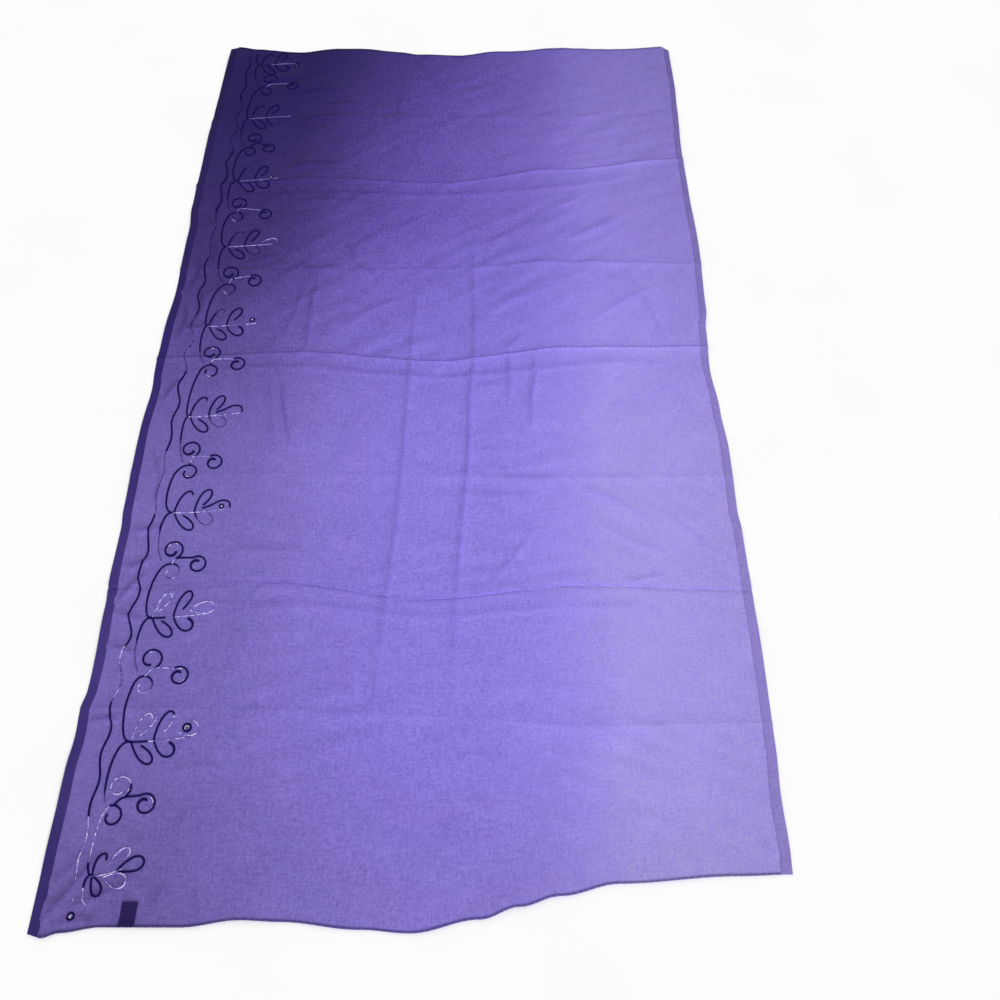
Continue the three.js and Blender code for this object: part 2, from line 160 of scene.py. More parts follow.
def fold_value(fold, column, x):
    """A fold's y or rise at x, eased between the five crossings."""
    rows = {"x": np.array(CROSSINGS, float), "value": np.array(fold[column], float)}
    return eased(rows, "x", "value", x)


def crease_profile(distance, reach, crest):
    """SWELL (1 + cos(pi d/reach)) / 2, plus crest times a thin edge exp(-d/CREST_WIDTH)."""
    swell = (1 + np.cos(np.pi * np.clip(distance / reach, 0, 1))) / 2
    edge = np.exp(-distance / CREST_WIDTH) * (distance < reach)
    return SWELL * swell + crest * edge


def fold_height(x, y):
    """The height that the seven folds give: for each, its rise times its profile."""
    height = np.zeros_like(x)
    for fold in FOLDS:
        distance = np.abs(y - fold_value(fold, "y", x))
        profile = crease_profile(distance, fold["reach"], fold["crest"])
        height += fold_value(fold, "rise", x) * profile
    return height


# %% [markdown]
# ## Charted creases
#
# Between the pressed folds the cloth has finer creases: slipped second folds, soft pleats that
# run along it, slanting drag lines and little darts. Each is one row: its rise, its width, and a
# few points that a smooth curve runs through. It fades out at both ends. A simulation would make
# creases too, but not these ones in these places.

# %% The crease chart, in millimetres
CREASES = [
    # slipped second folds, nearer than the three deepest ones
    (1.5, 7, [(-512, 466), (-400, 470), (-202, 473), (-2, 468), (150, 480), (298, 499), (478, 545)]),
    (1.8, 6, [(-512, -14), (-400, 2), (-252, 6), (-2, -20), (150, -6), (298, 14), (448, 16)]),
    (1.3, 6, [(-512, -486), (-300, -478), (-122, -489), (0, -505), (180, -488), (400, -484)]),
    # soft pleats that run along the cloth
    (2.2, 7, [(62, 333), (66, 200), (70, 30), (63, -52), (62, -202), (55, -302), (47, -452), (45, -652)]),
    (1.6, 7, [(-47, 262), (-52, 50), (-55, -102), (-58, -282), (-72, -522), (-83, -702)]),
    (1.4, 6, [(-117, 802), (-112, 680)]),
    (1.8, 7, [(-252, 242), (-256, 130), (-258, 28)]),
    (1.4, 6, [(-272, 230), (-285, 150), (-303, 78)]),
    (2.4, 8, [(-293, -30), (-278, -102), (-257, -178)]),
    (1.4, 7, [(-315, -20), (-305, -100), (-286, -190)]),
    (1.9, 6, [(137, 40), (137, -25), (135, -90)]),
    (2.1, 6, [(183, 30), (186, -18), (178, -67), (179, -135)]),
    (1.5, 6, [(128, 42), (143, 61), (164, 88)]),
    (1.3, 6, [(376, 255), (410, 173), (444, 61)]),
    # short folds across it
    (2.0, 9, [(-356, 694), (-300, 718), (-240, 726)]),
    (1.8, 9, [(-310, 763), (-250, 766), (-190, 760)]),
    (2.0, 9, [(-362, 552), (-290, 566), (-222, 567)]),
    (1.9, 8, [(-322, 447), (-260, 455), (-200, 452)]),
    (1.2, 6, [(50, 249), (130, 261), (198, 271), (300, 270), (428, 267)]),
    (1.1, 6, [(-352, -386), (-290, -381), (-222, -384)]),
    (1.2, 6, [(-342, -494), (-285, -486), (-232, -488)]),
    (1.1, 6, [(-372, -751), (-330, -742), (-290, -743)]),
    (1.8, 9, [(-372, 800), (-314, 812), (-240, 817)]),
    (1.7, 9, [(-300, 262), (-250, 256), (-190, 262)]),
    (0.9, 5, [(71, -39), (101, -39), (133, -37)]),
    (1.0, 5, [(48, -143), (120, -147), (190, -143)]),
    (1.0, 5, [(55, -181), (120, -184), (190, -179)]),
    (0.9, 5, [(50, -216), (120, -221), (205, -214)]),
    (0.8, 5, [(60, -272), (125, -277), (195, -270)]),
    # slanting drag lines, up to the right over the far half
    (1.6, 9, [(58, 308), (130, 350), (200, 398)]),
    (1.6, 9, [(228, 428), (265, 446), (300, 468)]),
    (1.8, 10, [(258, 340), (315, 366), (370, 398)]),
    (1.4, 9, [(-192, 100), (-130, 150), (-60, 188)]),
    (1.4, 8, [(-402, 270), (-365, 286), (-330, 298)]),
    (1.3, 8, [(-332, 230), (-290, 262), (-255, 300)]),
    (1.3, 9, [(90, 140), (170, 185), (240, 214)]),
    (1.3, 9, [(300, 120), (370, 172), (440, 210)]),
    (1.2, 8, [(-120, 340), (-60, 392), (-10, 420)]),
    (1.1, 8, [(-370, 380), (-310, 410), (-250, 428)]),
    (1.4, 7, [(-202, 330), (-186, 300), (-172, 268)]),
    (1.4, 7, [(-172, 268), (-148, 246), (-122, 230)]),
    # slanting drag lines, down to the right over the near half
    (1.3, 9, [(250, -250), (340, -300), (400, -342)]),
    (1.2, 9, [(360, -280), (430, -330), (500, -398)]),
    (1.1, 8, [(290, -330), (350, -368), (410, -390)]),
    # wrinkles beside the dark hem
    (2.0, 6, [(-512, 60), (-498, 110), (-505, 160)]),
    (2.2, 6, [(-490, 90), (-474, 150), (-482, 210)]),
    (1.9, 6, [(-515, 190), (-494, 235), (-500, 290)]),
    (1.7, 6, [(-478, 250), (-468, 300), (-476, 335)]),
    (1.7, 6, [(-510, -180), (-488, -225), (-480, -290)]),
    (1.5, 6, [(-505, 360), (-480, 396), (-488, 440)]),
    (1.6, 7, [(-510, 99), (-469, 103), (-436, 110)]),
    (2.9, 6, [(-512, -480), (-500, -464), (-474, -426)]),
    (2.3, 6, [(-512, -498), (-496, -500), (-460, -510)]),
    (2.5, 6, [(-512, -552), (-490, -558), (-452, -567)]),
    (2.7, 6, [(-512, -408), (-496, -413), (-470, -398)]),
    (2.7, 6, [(-511, -76), (-502, -60), (-484, -22)]),
    (2.3, 6, [(-512, -338), (-496, -345), (-462, -338)]),
    (2.5, 6, [(-512, -671), (-500, -673), (-462, -669)]),
    # thin short nicks
    (1.0, 4, [(98, -452), (140, -400), (180, -341)]),
    (1.1, 4, [(328, -441), (365, -436), (398, -426)]),
    (1.0, 4, [(-302, -471), (-285, -460), (-270, -446)]),
    (1.3, 4, [(498, -852), (509, -862), (519, -871)]),
    (0.8, 4, [(-2, -776), (10, -775), (19, -771)]),
    (0.9, 4, [(-342, -801), (-347, -826), (-352, -851)]),
    (0.9, 4, [(-352, -901), (-362, -926), (-372, -951)]),
    (0.9, 4, [(-312, -901), (-306, -926), (-302, -951)]),
    (0.8, 4, [(398, -861), (405, -880), (409, -901)]),
    # the turned-up corner by the dark hem
    (1.9, 6, [(-520, -930), (-480, -934), (-430, -915), (-395, -893)]),
    (2.6, 8, [(-522, -958), (-490, -918), (-455, -866)]),
    (1.6, 7, [(-520, -910), (-499, -892), (-474, -862)]),
    (1.4, 6, [(-505, -960), (-470, -952), (-432, -957)]),
]
STAND = 2.1  # every charted rise times this, so that one number makes the whole chart bolder
TROUGH_ROOM = 0.9  # the cloth's mean height off the surface between its creases
CREASE_STEPS = 6


def smooth_path(path, steps=CREASE_STEPS):
    """A curve through the points: each stretch is the cubic whose end slopes are half the line
    between the two points on either side (a Catmull-Rom spline)."""
    points = np.array(path, float)
    points = np.vstack([2 * points[0] - points[1], points, 2 * points[-1] - points[-2]])
    before, start, end, after = points[:-3], points[1:-2], points[2:-1], points[3:]
    share = np.linspace(0, 1, steps, endpoint=False)[:, None, None]
    linear = (end - before) * share
    square = (2 * before - 5 * start + 4 * end - after) * share**2
    cubic = (3 * start - before - 3 * end + after) * share**3
    curve = (2 * start + linear + square + cubic) / 2
    return np.vstack([curve.transpose(1, 0, 2).reshape(-1, 2), end[-1:]])


def distance_from_path(x, y, path):
    """Each point's distance from a path, and the share of the path's length at its nearest point.
    The nearest point on a segment is the foot of the perpendicular, held between its ends."""
    steps = np.diff(path, axis=0)
    lengths = np.hypot(*steps.T)
    from_start = np.stack([x, y])[:, None, :] - path[:-1].T[:, :, None]
    share = np.clip((from_start * steps.T[:, :, None]).sum(axis=0) / lengths[:, None] ** 2, 0, 1)
    distances = np.hypot(*(from_start - steps.T[:, :, None] * share))
    nearest = distances.argmin(axis=0)
    picked = (nearest, np.arange(len(x)))
    passed = np.concatenate([[0], np.cumsum(lengths)])
    return distances[picked], (passed[nearest] + share[picked] * lengths[nearest]) / passed[-1]


def creases_near(x, y):
    """For each charted crease: the points within its reach, its rise and width, and at those points
    the distance from it and its fade, sqrt(sin(pi share))."""
    for rise, width, points in CREASES:
        path = smooth_path(points)
        room = 4 * width
        close = (x > path[:, 0].min() - room) & (x < path[:, 0].max() + room)
        close &= (y > path[:, 1].min() - room) & (y < path[:, 1].max() + room)
        if close.any():
            distance, share = distance_from_path(x[close], y[close], path)
            yield close, rise, width, distance, np.sqrt(np.clip(np.sin(np.pi * share), 0, 1))


def crease_height(x, y):
    """The height that the charted creases give: STAND times rise times fade, times
    exp(-(d/width)^1.3)."""
    height = np.zeros_like(x)
    for close, rise, width, distance, fade in creases_near(x, y):
        height[close] += STAND * rise * fade * np.exp(-((distance / width) ** 1.3))
    return height


# Painted shade: the dye is made darker along a thin line at each crease, and just beyond each fold line on
# its far side, where the crease's shade falls
CREASE_SHADE_WIDTH = 3.6
CREASE_SHADE_FULL_RISE = 2.8  # a charted rise of this much or more gets the full painted shade
FOLD_SHADE = {"width": 2.4, "beyond": 3.0, "full_rise": 5.0}


def painted_crease_shade(x, y):
    """From 0 to 1, how much painted shade darkens the dye: for a crease rise/full * fade *
    exp(-(d/width)^2), for a fold the same a little beyond its line, on its far side, and the greatest of
    them all."""
    doubled = np.zeros_like(x)
    for close, rise, _, distance, fade in creases_near(x, y):
        line = np.clip(rise / CREASE_SHADE_FULL_RISE, 0, 1) * fade * np.exp(-((distance / CREASE_SHADE_WIDTH) ** 2))
        doubled[close] = np.maximum(doubled[close], line)
    for fold in FOLDS:
        distance = y - fold_value(fold, "y", x) - FOLD_SHADE["beyond"]
        share = fold_value(fold, "rise", x) / FOLD_SHADE["full_rise"] * abs(fold["crest"])
        doubled = np.maximum(doubled, share * np.exp(-((distance / FOLD_SHADE["width"]) ** 2)))
    return doubled


# %% [markdown]
# ## Unevenness, and the cloth's upper face
#
# No laid cloth is truly level. A few dozen long, low sine waves in seeded random directions give
# it the slow swells that catch the light. Wavelength sets height, so no wave is steeper than
# another. The upper face is then a plain function of x and y, which the hems, cords and beads can
# ask for their own height.

# %% Low waves and the height function
WAVE_COUNT = 26
WAVE_LENGTHS = (34, 260)
WAVE_STEEPNESS = 0.0016  # each wave's height over its length

rng = np.random.default_rng(11)
wave_length = np.exp(rng.uniform(*np.log(WAVE_LENGTHS), WAVE_COUNT))
wave_heading = rng.uniform(0, np.pi, WAVE_COUNT)
wave_start = rng.uniform(0, 2 * np.pi, WAVE_COUNT)


def rumple(x, y):
    """A sum of sines: each height is steepness * wavelength, along its own heading."""
    total = np.zeros_like(x)
    for length, heading, start in zip(wave_length, wave_heading, wave_start):
        along = x * np.cos(heading) + y * np.sin(heading)
        total += WAVE_STEEPNESS * length * np.sin(2 * np.pi * along / length + start)
    return total


# Where the cloth was dragged it lies in faint parallel ripples: the middle of each patch, its
# reach each way, the way its ripples run in degrees, their height and their spacing
RIPPLES = table(
    "x y reach_x reach_y runs height spacing",
    (130, 300, 230, 150, 36, 1.30, 52),
    (-230, 290, 130, 150, 42, 1.30, 44),
    (380, -320, 150, 110, -36, 1.10, 44),
    (-490, 150, 30, 170, 82, 0.90, 19),
    (-485, -230, 30, 90, 70, 0.75, 20),
    (130, -200, 120, 90, 2, 1.00, 36),
    (-130, -640, 300, 170, 18, 0.60, 52),
    (-60, 780, 330, 120, 12, 1.30, 52),
    (330, 620, 160, 150, 24, 1.20, 48),
    (-330, 560, 120, 120, 30, 1.40, 42),
    (-360, 820, 120, 110, 20, 1.40, 42),
    (-60, 60, 240, 110, 30, 1.20, 48),
    (80, -420, 200, 80, -8, 0.80, 46),
    (300, -720, 200, 130, -16, 0.65, 50),
)
RIPPLE_WAVES = 5


def ripple_height(x, y):
    """For each patch: a bell exp(-(dx/reach)^2 - (dy/reach)^2) times a few sines that run almost
    the same way, with lengths about the patch's spacing, all drawn from one seed."""
    total = np.zeros_like(x)
    draw = np.random.default_rng(5)
    for mx, my, reach_x, reach_y, runs, height, spacing in zip(*RIPPLES.values()):
        bell = np.exp(-(((x - mx) / reach_x) ** 2) - ((y - my) / reach_y) ** 2)
        headings = np.radians(runs + 90 + draw.normal(0, 9, RIPPLE_WAVES))
        lengths = spacing * draw.uniform(0.6, 1.6, RIPPLE_WAVES)
        starts = draw.uniform(0, 2 * np.pi, RIPPLE_WAVES)
        for heading, length, start in zip(headings, lengths, starts):
            along = x * np.cos(heading) + y * np.sin(heading)
            wave = np.sin(2 * np.pi * along / length + start)
            total += bell * height / np.sqrt(RIPPLE_WAVES) * wave
    return total


def cloth_top(x, y):
    """The height of the cloth's upper face in millimetres: the wall, plus what is left above the
    surface of folds, creases and low waves together."""
    x, y = np.broadcast_arrays(np.asarray(x, float), np.asarray(y, float))
    shape = x.shape
    x, y = x.ravel(), y.ravel()
    lift = fold_height(x, y) + crease_height(x, y) + ripple_height(x, y) + rumple(x, y)
    lift += TROUGH_ROOM
    return (WALL + np.clip(lift, 0, None)).reshape(shape)


# %% [markdown]
# ## A grid that crowds where it matters
#
# A pressed fold is a few millimetres wide on a cloth two metres long. An even grid fine enough for
# it would need millions of faces, so rows of points crowd at the fold lines and columns at the
# long pleats. Every row follows the folds across the cloth, so that each crest has a row of its own.

# %% Nominal places of rows and columns
COARSE = 5.4
ROW_FINE = 2.0
ROW_CROWD = 9.0
COLUMN_FINE = 3.2
COLUMN_CROWD = 12.0
UNDER_STEP = 4  # the plain underside keeps every fourth point
PLEAT_COLUMNS = np.array([-493.0, -275.0, -60.0, 58.0, 137.0, 181.0])
END_PLACES = (-950, 960)  # the nominal places of the near and the far end
RULER_POINTS = 8001
SIDE_BLEND = 70  # how far in from a side edge the columns bend with it


def crowded(low, high, crowds, fine, reach):
    """Places from low to high, COARSE apart and fine apart at each crowd: the running sum of one
    over the spacing counts the points, and reading it backwards gives their places."""
    ruler = np.linspace(low, high, RULER_POINTS)
    nearness = np.exp(-(((ruler[:, None] - crowds) / reach) ** 2)).max(axis=1)
    density = mix(1 / COARSE, 1 / fine, nearness)
    count = np.concatenate([[0], np.cumsum((density[1:] + density[:-1]) / 2 * np.diff(ruler))])
    steps = UNDER_STEP * round(count[-1] / UNDER_STEP)
    return np.interp(np.linspace(0, count[-1], steps + 1), count, ruler)


line_middles = np.array([END_PLACES[0], *[fold["y"][2] for fold in FOLDS], END_PLACES[1]], float)
row_places = crowded(line_middles[0], line_middles[-1], line_middles, ROW_FINE, ROW_CROWD)
column_places = crowded(-HALF_WIDTH, HALF_WIDTH, PLEAT_COLUMNS, COLUMN_FINE, COLUMN_CROWD)
print("rows and columns of the panel:", len(row_places), len(column_places))


def row_y(nominal, x):
    """The y at x of the rows with these nominal places: rows on a fold keep to it, and the others
    share out the room between two fold lines."""
    lines = [near_edge(x), *[fold_value(fold, "y", x) for fold in FOLDS], far_edge(x)]
    lines = np.array(lines)
    before = np.clip(np.searchsorted(line_middles, nominal, side="right") - 1, 0, len(lines) - 2)
    share = (nominal - line_middles[before]) / (line_middles[before + 1] - line_middles[before])
    return mix(lines[before], lines[before + 1], share.reshape(-1, *[1] * (lines.ndim - 1)))


def pull(distance):
    """1 at a side edge and 0 from SIDE_BLEND inwards, by the smoothstep 3 s^2 - 2 s^3."""
    share = np.clip(distance / SIDE_BLEND, 0, 1)
    return 1 - share**2 * (3 - 2 * share)


def side_x(nominal, y_left, y_right):
    """Where a column runs: straight over the middle, and out with the wandering side edges over
    the last few centimetres."""
    left = side_edge(-1, y_left) + HALF_WIDTH
    right = side_edge(1, y_right) - HALF_WIDTH
    return nominal + pull(nominal + HALF_WIDTH) * left + pull(HALF_WIDTH - nominal) * right


# %% [markdown]
# ## Helpers that put arrays into meshes
#
# Three forms cover every piece here: a thin slab between two grids of points, a section carried
# along a path, and one small ring repeated thousands of times. All of them are whole arrays, and
# from_pydata takes them as they are.

# %% Meshes from arrays
SHARP_ANGLE = np.radians(50)


def solid_object(name, points, faces, smooth=True):
    """A mesh object in metres from points in millimetres; prints its faces and its volume, which
    is above nought only where the faces point outwards."""
    mesh = bpy.data.meshes.new(name)
    mesh.from_pydata((points * MM).tolist(), [], faces)
    mesh.update()
    if smooth:
        mesh.shade_smooth()
        mesh.set_sharp_from_angle(angle=SHARP_ANGLE)
    made = bpy.data.objects.new(name, mesh)
    bpy.context.scene.collection.objects.link(made)
    mesh.calc_loop_triangles()
    corners = np.zeros(len(mesh.loop_triangles) * 3, int)
    mesh.loop_triangles.foreach_get("vertices", corners)
    a, b, c = (points[corners.reshape(-1, 3)[:, k]] for k in range(3))
    volume = (a * np.cross(b, c)).sum() / 6
    print(f"{name}: {len(mesh.loop_triangles)} triangles, {volume / 1000:.2f} cm3")
    return made


def ring_quads(rings, around, first=0):
    """Quads between neighbouring rings of points, each ring closed on itself."""
    ring, spoke = np.meshgrid(np.arange(rings - 1), np.arange(around), indexing="ij")
    after = (spoke + 1) % around
    quads = [ring * around + spoke, (ring + 1) * around + spoke]
    quads += [(ring + 1) * around + after, ring * around + after]
    return (first + np.stack(quads, axis=-1).reshape(-1, 4)).tolist()


def carried_section(rings):
    """Points and faces of a section carried along a path: rings is (rings, around, 3), and each
    end is closed by one face."""
    count, around = rings.shape[:2]
    faces = ring_quads(count, around)
    faces.append(list(range(around)))
    faces.append(list(range((count - 1) * around, count * around))[::-1])
    return rings.reshape(-1, 3), faces


# %% [markdown]
# ## The panel
#
# The upper face is the full grid. Nobody sees the underside, which lies flat where the cloth
# rests, so it keeps every fourth point and the rim joins the two with small fans. Its height is
# the lowest upper point around, less the cloth's own thickness, and never below the surface: a
# minimum over a window of the grid, so that it can't come through a trough.

# %% The panel's shell
CLOTH_WALL = 0.9


def windowed_minimum(heights, reach):
    """The lowest value within reach cells each way, by shifting the padded array and keeping the
    least."""
    padded = np.pad(heights, reach, mode="edge")
    rows, columns = heights.shape
    shifts = range(2 * reach + 1)
    return np.min([padded[i : i + rows, j : j + columns] for i in shifts for j in shifts], axis=0)


def perimeter(rows, columns, step):
    """Grid indices round the rim, seen from above against the clock, every step points."""
    near = [(0, j) for j in range(0, columns - 1, step)]
    right = [(i, columns - 1) for i in range(0, rows - 1, step)]
    far = [(rows - 1, j) for j in range(columns - 1, 0, -step)]
    left = [(i, 0) for i in range(rows - 1, 0, -step)]
    return near + right + far + left


def panel_shell():
    """The closed shell of the cloth: fine upper grid, coarse lower grid, fans round the rim."""
    y = row_y(row_places, column_places)
    x = side_x(column_places[None, :], y[:, :1], y[:, -1:])
    x = np.broadcast_to(x, y.shape)
    top = cloth_top(x, y)
    under = np.clip(windowed_minimum(top, UNDER_STEP) - CLOTH_WALL, 0, None)
    rows, columns = top.shape
    upper = np.stack([x, y, top], axis=-1)
    keep = (slice(None, None, UNDER_STEP), slice(None, None, UNDER_STEP))
    lower = np.stack([x, y, under], axis=-1)[keep]
    low_rows, low_columns = lower.shape[:2]
    first = rows * columns

    i, j = np.meshgrid(np.arange(rows - 1), np.arange(columns - 1), indexing="ij")
    at = i * columns + j
    faces = np.stack([at, at + 1, at + columns + 1, at + columns], axis=-1).reshape(-1, 4).tolist()
    i, j = np.meshgrid(np.arange(low_rows - 1), np.arange(low_columns - 1), indexing="ij")
    at = first + i * low_columns + j
    low = [at, at + low_columns, at + low_columns + 1, at + 1]
    faces += np.stack(low, axis=-1).reshape(-1, 4).tolist()

    fine = [i * columns + j for i, j in perimeter(rows, columns, 1)]
    coarse = [first + i * low_columns + j for i, j in perimeter(low_rows, low_columns, 1)]
    for k, low_here in enumerate(coarse):
        span = [fine[(UNDER_STEP * k + n) % len(fine)] for n in range(UNDER_STEP + 1)]
        faces += [[low_here, span[n + 1], span[n]] for n in range(UNDER_STEP)]
        faces.append([low_here, coarse[(k + 1) % len(coarse)], span[-1]])
    return np.vstack([upper.reshape(-1, 3), lower.reshape(-1, 3)]), faces


panel_points, panel_faces = panel_shell()
panel = solid_object("voile_panel", panel_points, panel_faces)
# Painted shade along the creases and folds, kept on the points for the finish to read
doubled = panel.data.attributes.new("doubled", "FLOAT", "POINT")
doubled.data.foreach_set("value", painted_crease_shade(*panel_points[:, :2].T).astype(np.float32))
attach(panel, "root")
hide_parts("cloth_panel")

# %% [markdown]
# ## The turned hems
#
# A side hem is the cloth's own edge folded over twice and run down with one line of stitches. Its
# section is a flat loop: round at the fold, where it wraps the panel's edge, level across, dented
# at the stitches and thin at the inner edge. Carried along the side and lifted by the cloth's own
# height at every point, it follows each fold that it crosses. Its width wanders a little, and the
# stitches draw it up into small puckers.

# %% Side hems
# The hem's section, outer fold first: how far in from the side edge, as a share of its width plus
# millimetres, and the height over the panel's upper face
HEM_SECTION = table(
    "share inward height",
    (0, 0.4, 0.25), (0, -0.2, 0.10), (0, -0.3, -0.75), (0, -0.8, -0.85), (0, -1.1, -0.3),
    (0, -1.0, 0.5), (0, -0.4, 0.85), (0.12, 0, 0.95), (0.3, 0, 0.95), (0.5, 0, 0.9), (0.7, 0, 0.9),
    (1, -2.8, 0.85), (1, -2.1, 0.62), (1, -1.4, 0.8), (1, -0.5, 0.62), (1, 0.2, 0.4), (1, -0.2, 0.25),
    (0.66, 0, 0.25), (0.33, 0, 0.25),
)
HEM_WANDER = [(0.5, 47), (0.3, 19)]  # sines in its width: height, and length over 2 pi
PUCKER = 0.38
PUCKER_LENGTH = 23
SLOW_PUCKER = {"height": 0.7, "pace": 0.43}  # the second sine's, as shares of the first's
# The puckers come in patches: a level and two slow sines, with their lengths over 2 pi
PATCHES = {"level": 0.4, "least": 0.1, "long": 83, "short": 31, "height": 0.7, "start": 2}


def turned_hem(name, side, width_near, width_far, lean):
    """The hem's loop at every row of the panel; side is -1 for the left and 1 for the right. The
    puckers are two sines along it, strongest at the stitches."""
    y_edge = row_y(row_places, np.array([side * HALF_WIDTH]))[:, 0]
    x_edge = side_edge(side, y_edge)
    along = (y_edge - y_edge[0]) / (y_edge[-1] - y_edge[0])
    width = mix(width_near, width_far, along)
    for height, length in HEM_WANDER:
        width += height * np.sin(y_edge / length)
    inward = HEM_SECTION["share"] * width[:, None] + HEM_SECTION["inward"]
    x = x_edge[:, None] - side * inward
    y = row_y(row_places, side * (HALF_WIDTH - np.clip(inward.mean(axis=0), 0, None)))
    base = cloth_top(np.clip(x, x_edge.min(), x_edge.max()), y)
    upper = np.clip(HEM_SECTION["height"] - GAP, 0, 1)
    phase = 2 * np.pi * y / PUCKER_LENGTH + lean * inward
    short = PATCHES["height"] * np.sin(y / PATCHES["short"] + PATCHES["start"])
    uneven = np.clip(PATCHES["level"] + np.sin(y / PATCHES["long"]) + short, PATCHES["least"], None)
    waves = np.sin(phase) + SLOW_PUCKER["height"] * np.sin(SLOW_PUCKER["pace"] * phase)
    pucker = PUCKER * upper * HEM_SECTION["share"] * uneven * waves
    rings = np.stack([x, y, base + HEM_SECTION["height"] + pucker], axis=-1)
    points, faces = carried_section(rings[::-1] if side < 0 else rings)
    return solid_object(name, points, faces)


left_hem = turned_hem("dark_side_hem", -1, LEFT_HEM - 0.5, LEFT_HEM - 1.5, 0.25)
right_hem = turned_hem("pale_side_hem", 1, RIGHT_HEM["near"], RIGHT_HEM["far"], 0.35)
for piece, node in ((left_hem, "left_hem"), (right_hem, "right_hem")):
    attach(piece, "root")
    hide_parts(node)

# %% [markdown]
# ## The rolled ends
#
# Both ends are finished the way fine scarves are: the raw edge is rolled into a cord a few
# millimetres thick and whipped over with thread. A flattened round section runs along the end
# edge, swelling and pinching at every whip stitch, so here the stitches are real relief.

# %% Rolled ends
ROLL_HALF_WIDTH = 1.2
ROLL_HALF_HEIGHT = 0.7
ROLL_STEP = 1.3
ROLL_SIDES = 8
WHIP_PITCH = 5.2
WHIP_PINCH = 0.13
ROLL_WANDER = (0.08, 31)  # a slow sine in its size: height, and length over 2 pi
ROLL_CLEAR = 1  # room between the roll's end and a side hem
ROLL_PAST = 0.5  # how far the roll stands out past the end edge


def rolled_end(name, edge, inward, slant):
    """An ellipse along the end edge: its size is 1 + WHIP_PINCH sin(2 pi x / WHIP_PITCH + angle), so
    the pinches wind round it like thread. inward is +1 at the near end and -1 at the far end."""
    left = side_edge(-1, edge(-HALF_WIDTH)) + LEFT_HEM + ROLL_CLEAR
    hem = RIGHT_HEM["near"] if inward > 0 else RIGHT_HEM["far"]
    right = side_edge(1, edge(HALF_WIDTH)) - hem - ROLL_CLEAR
    x = np.linspace(left, right, round((right - left) / ROLL_STEP))
    y = edge(x) + inward * (ROLL_HALF_WIDTH - ROLL_PAST)
    angle = np.linspace(0, 2 * np.pi, ROLL_SIDES, endpoint=False)
    size = 1 + WHIP_PINCH * np.sin(2 * np.pi * x[:, None] / WHIP_PITCH + slant * angle)
    size *= 1 + ROLL_WANDER[0] * np.sin(x / ROLL_WANDER[1])[:, None]
    across = ROLL_HALF_WIDTH * size * np.cos(angle)
    up = ROLL_HALF_HEIGHT * size * np.sin(angle)
    base = cloth_top(x, y) + GAP + ROLL_HALF_HEIGHT
    along = np.repeat(x[:, None], ROLL_SIDES, axis=1)
    rings = np.stack([along, y[:, None] + across, base[:, None] + up], axis=-1)
    points, faces = carried_section(rings[::-1])
    return solid_object(name, points, faces)


near_roll = rolled_end("near_rolled_end", near_edge, 1, 1)
far_roll = rolled_end("far_rolled_end", far_edge, -1, -1)
for piece, node in ((near_roll, "near_rolled_hem"), (far_roll, "far_rolled_hem")):
    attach(piece, "root")
    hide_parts(node)

# %% [markdown]
# ## The woven tab
#
# A narrow ribbon of dark satin weave is caught in the near roll and lies back over the cloth. It
# is bare. A ribbon is thin but not limp: it rides over the roll, comes down on the cloth and lifts
# a hair at its free end. One section, six points round, is carried across it from side to side.

# %% Woven tab
TAB_COLUMNS = 23
TAB_ROWS = 26
TAB_START = 0.3  # how far in from the end edge its first row lies
TAB_CLEAR = 0.2  # room between the roll and the ribbon over it
TAB_LIFTS_FROM = 0.6  # the share of its length from which the free end lifts
TAB_LIFT = 0.7
TAB_CUP = 0.35
TAB_SKEW = 0.02


def tab_height(distance):
    """Height over the cloth at a distance from the end edge: level over the roll, an eased step
    down behind it, and a small lift towards the free end."""
    over_roll = GAP + 2 * ROLL_HALF_HEIGHT + TAB_CLEAR
    step = np.clip((distance - ROLLED_HEM) / TAB["bridge"], 0, 1)
    down = (1 + np.cos(np.pi * step)) / 2
    lifting = (1 - TAB_LIFTS_FROM) * TAB["length"]
    free = np.clip((distance - TAB_LIFTS_FROM * TAB["length"]) / lifting, 0, 1)
    return GAP + over_roll * down + TAB_LIFT * free**2


def woven_tab():
    """Rings across the tab: each is the ribbon's upper line and its lower line end to end."""
    across = np.linspace(-0.5, 0.5, TAB_COLUMNS)
    distance = np.linspace(TAB_START, TAB["length"], TAB_ROWS)
    cup = TAB_CUP * (2 * across) ** 2
    x = TAB["x"] + TAB["width"] * across[:, None] + TAB_SKEW * distance
    edge = near_edge(TAB["x"])
    y = np.repeat((edge + distance)[None, :], TAB_COLUMNS, axis=0)
    x = np.broadcast_to(x, y.shape)
    under = cloth_top(x, y) + tab_height(distance) + cup[:, None] * (distance / TAB["length"])
    lower = np.stack([x, y, under], axis=-1)
    upper = np.stack([x, y, under + TAB["wall"]], axis=-1)
    rings = np.concatenate([lower, upper[:, ::-1]], axis=1)
    return carried_section(rings[::-1])


tab = solid_object("bare_woven_tab", *woven_tab())
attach(tab, "root")
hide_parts("woven_tab")

# %% [markdown]
# ## The vine's lines
#
# Ten motifs follow each other down the border. Each has a bowed stem, a tail, a stalk and four
# open leaves that spring from a joint, and all but the cut-off far one have a curled crown, a curl
# and a head. Free-hand machine stitch never repeats exactly, so the table gives every motif its
# own places, and the strokes are formulas on them.

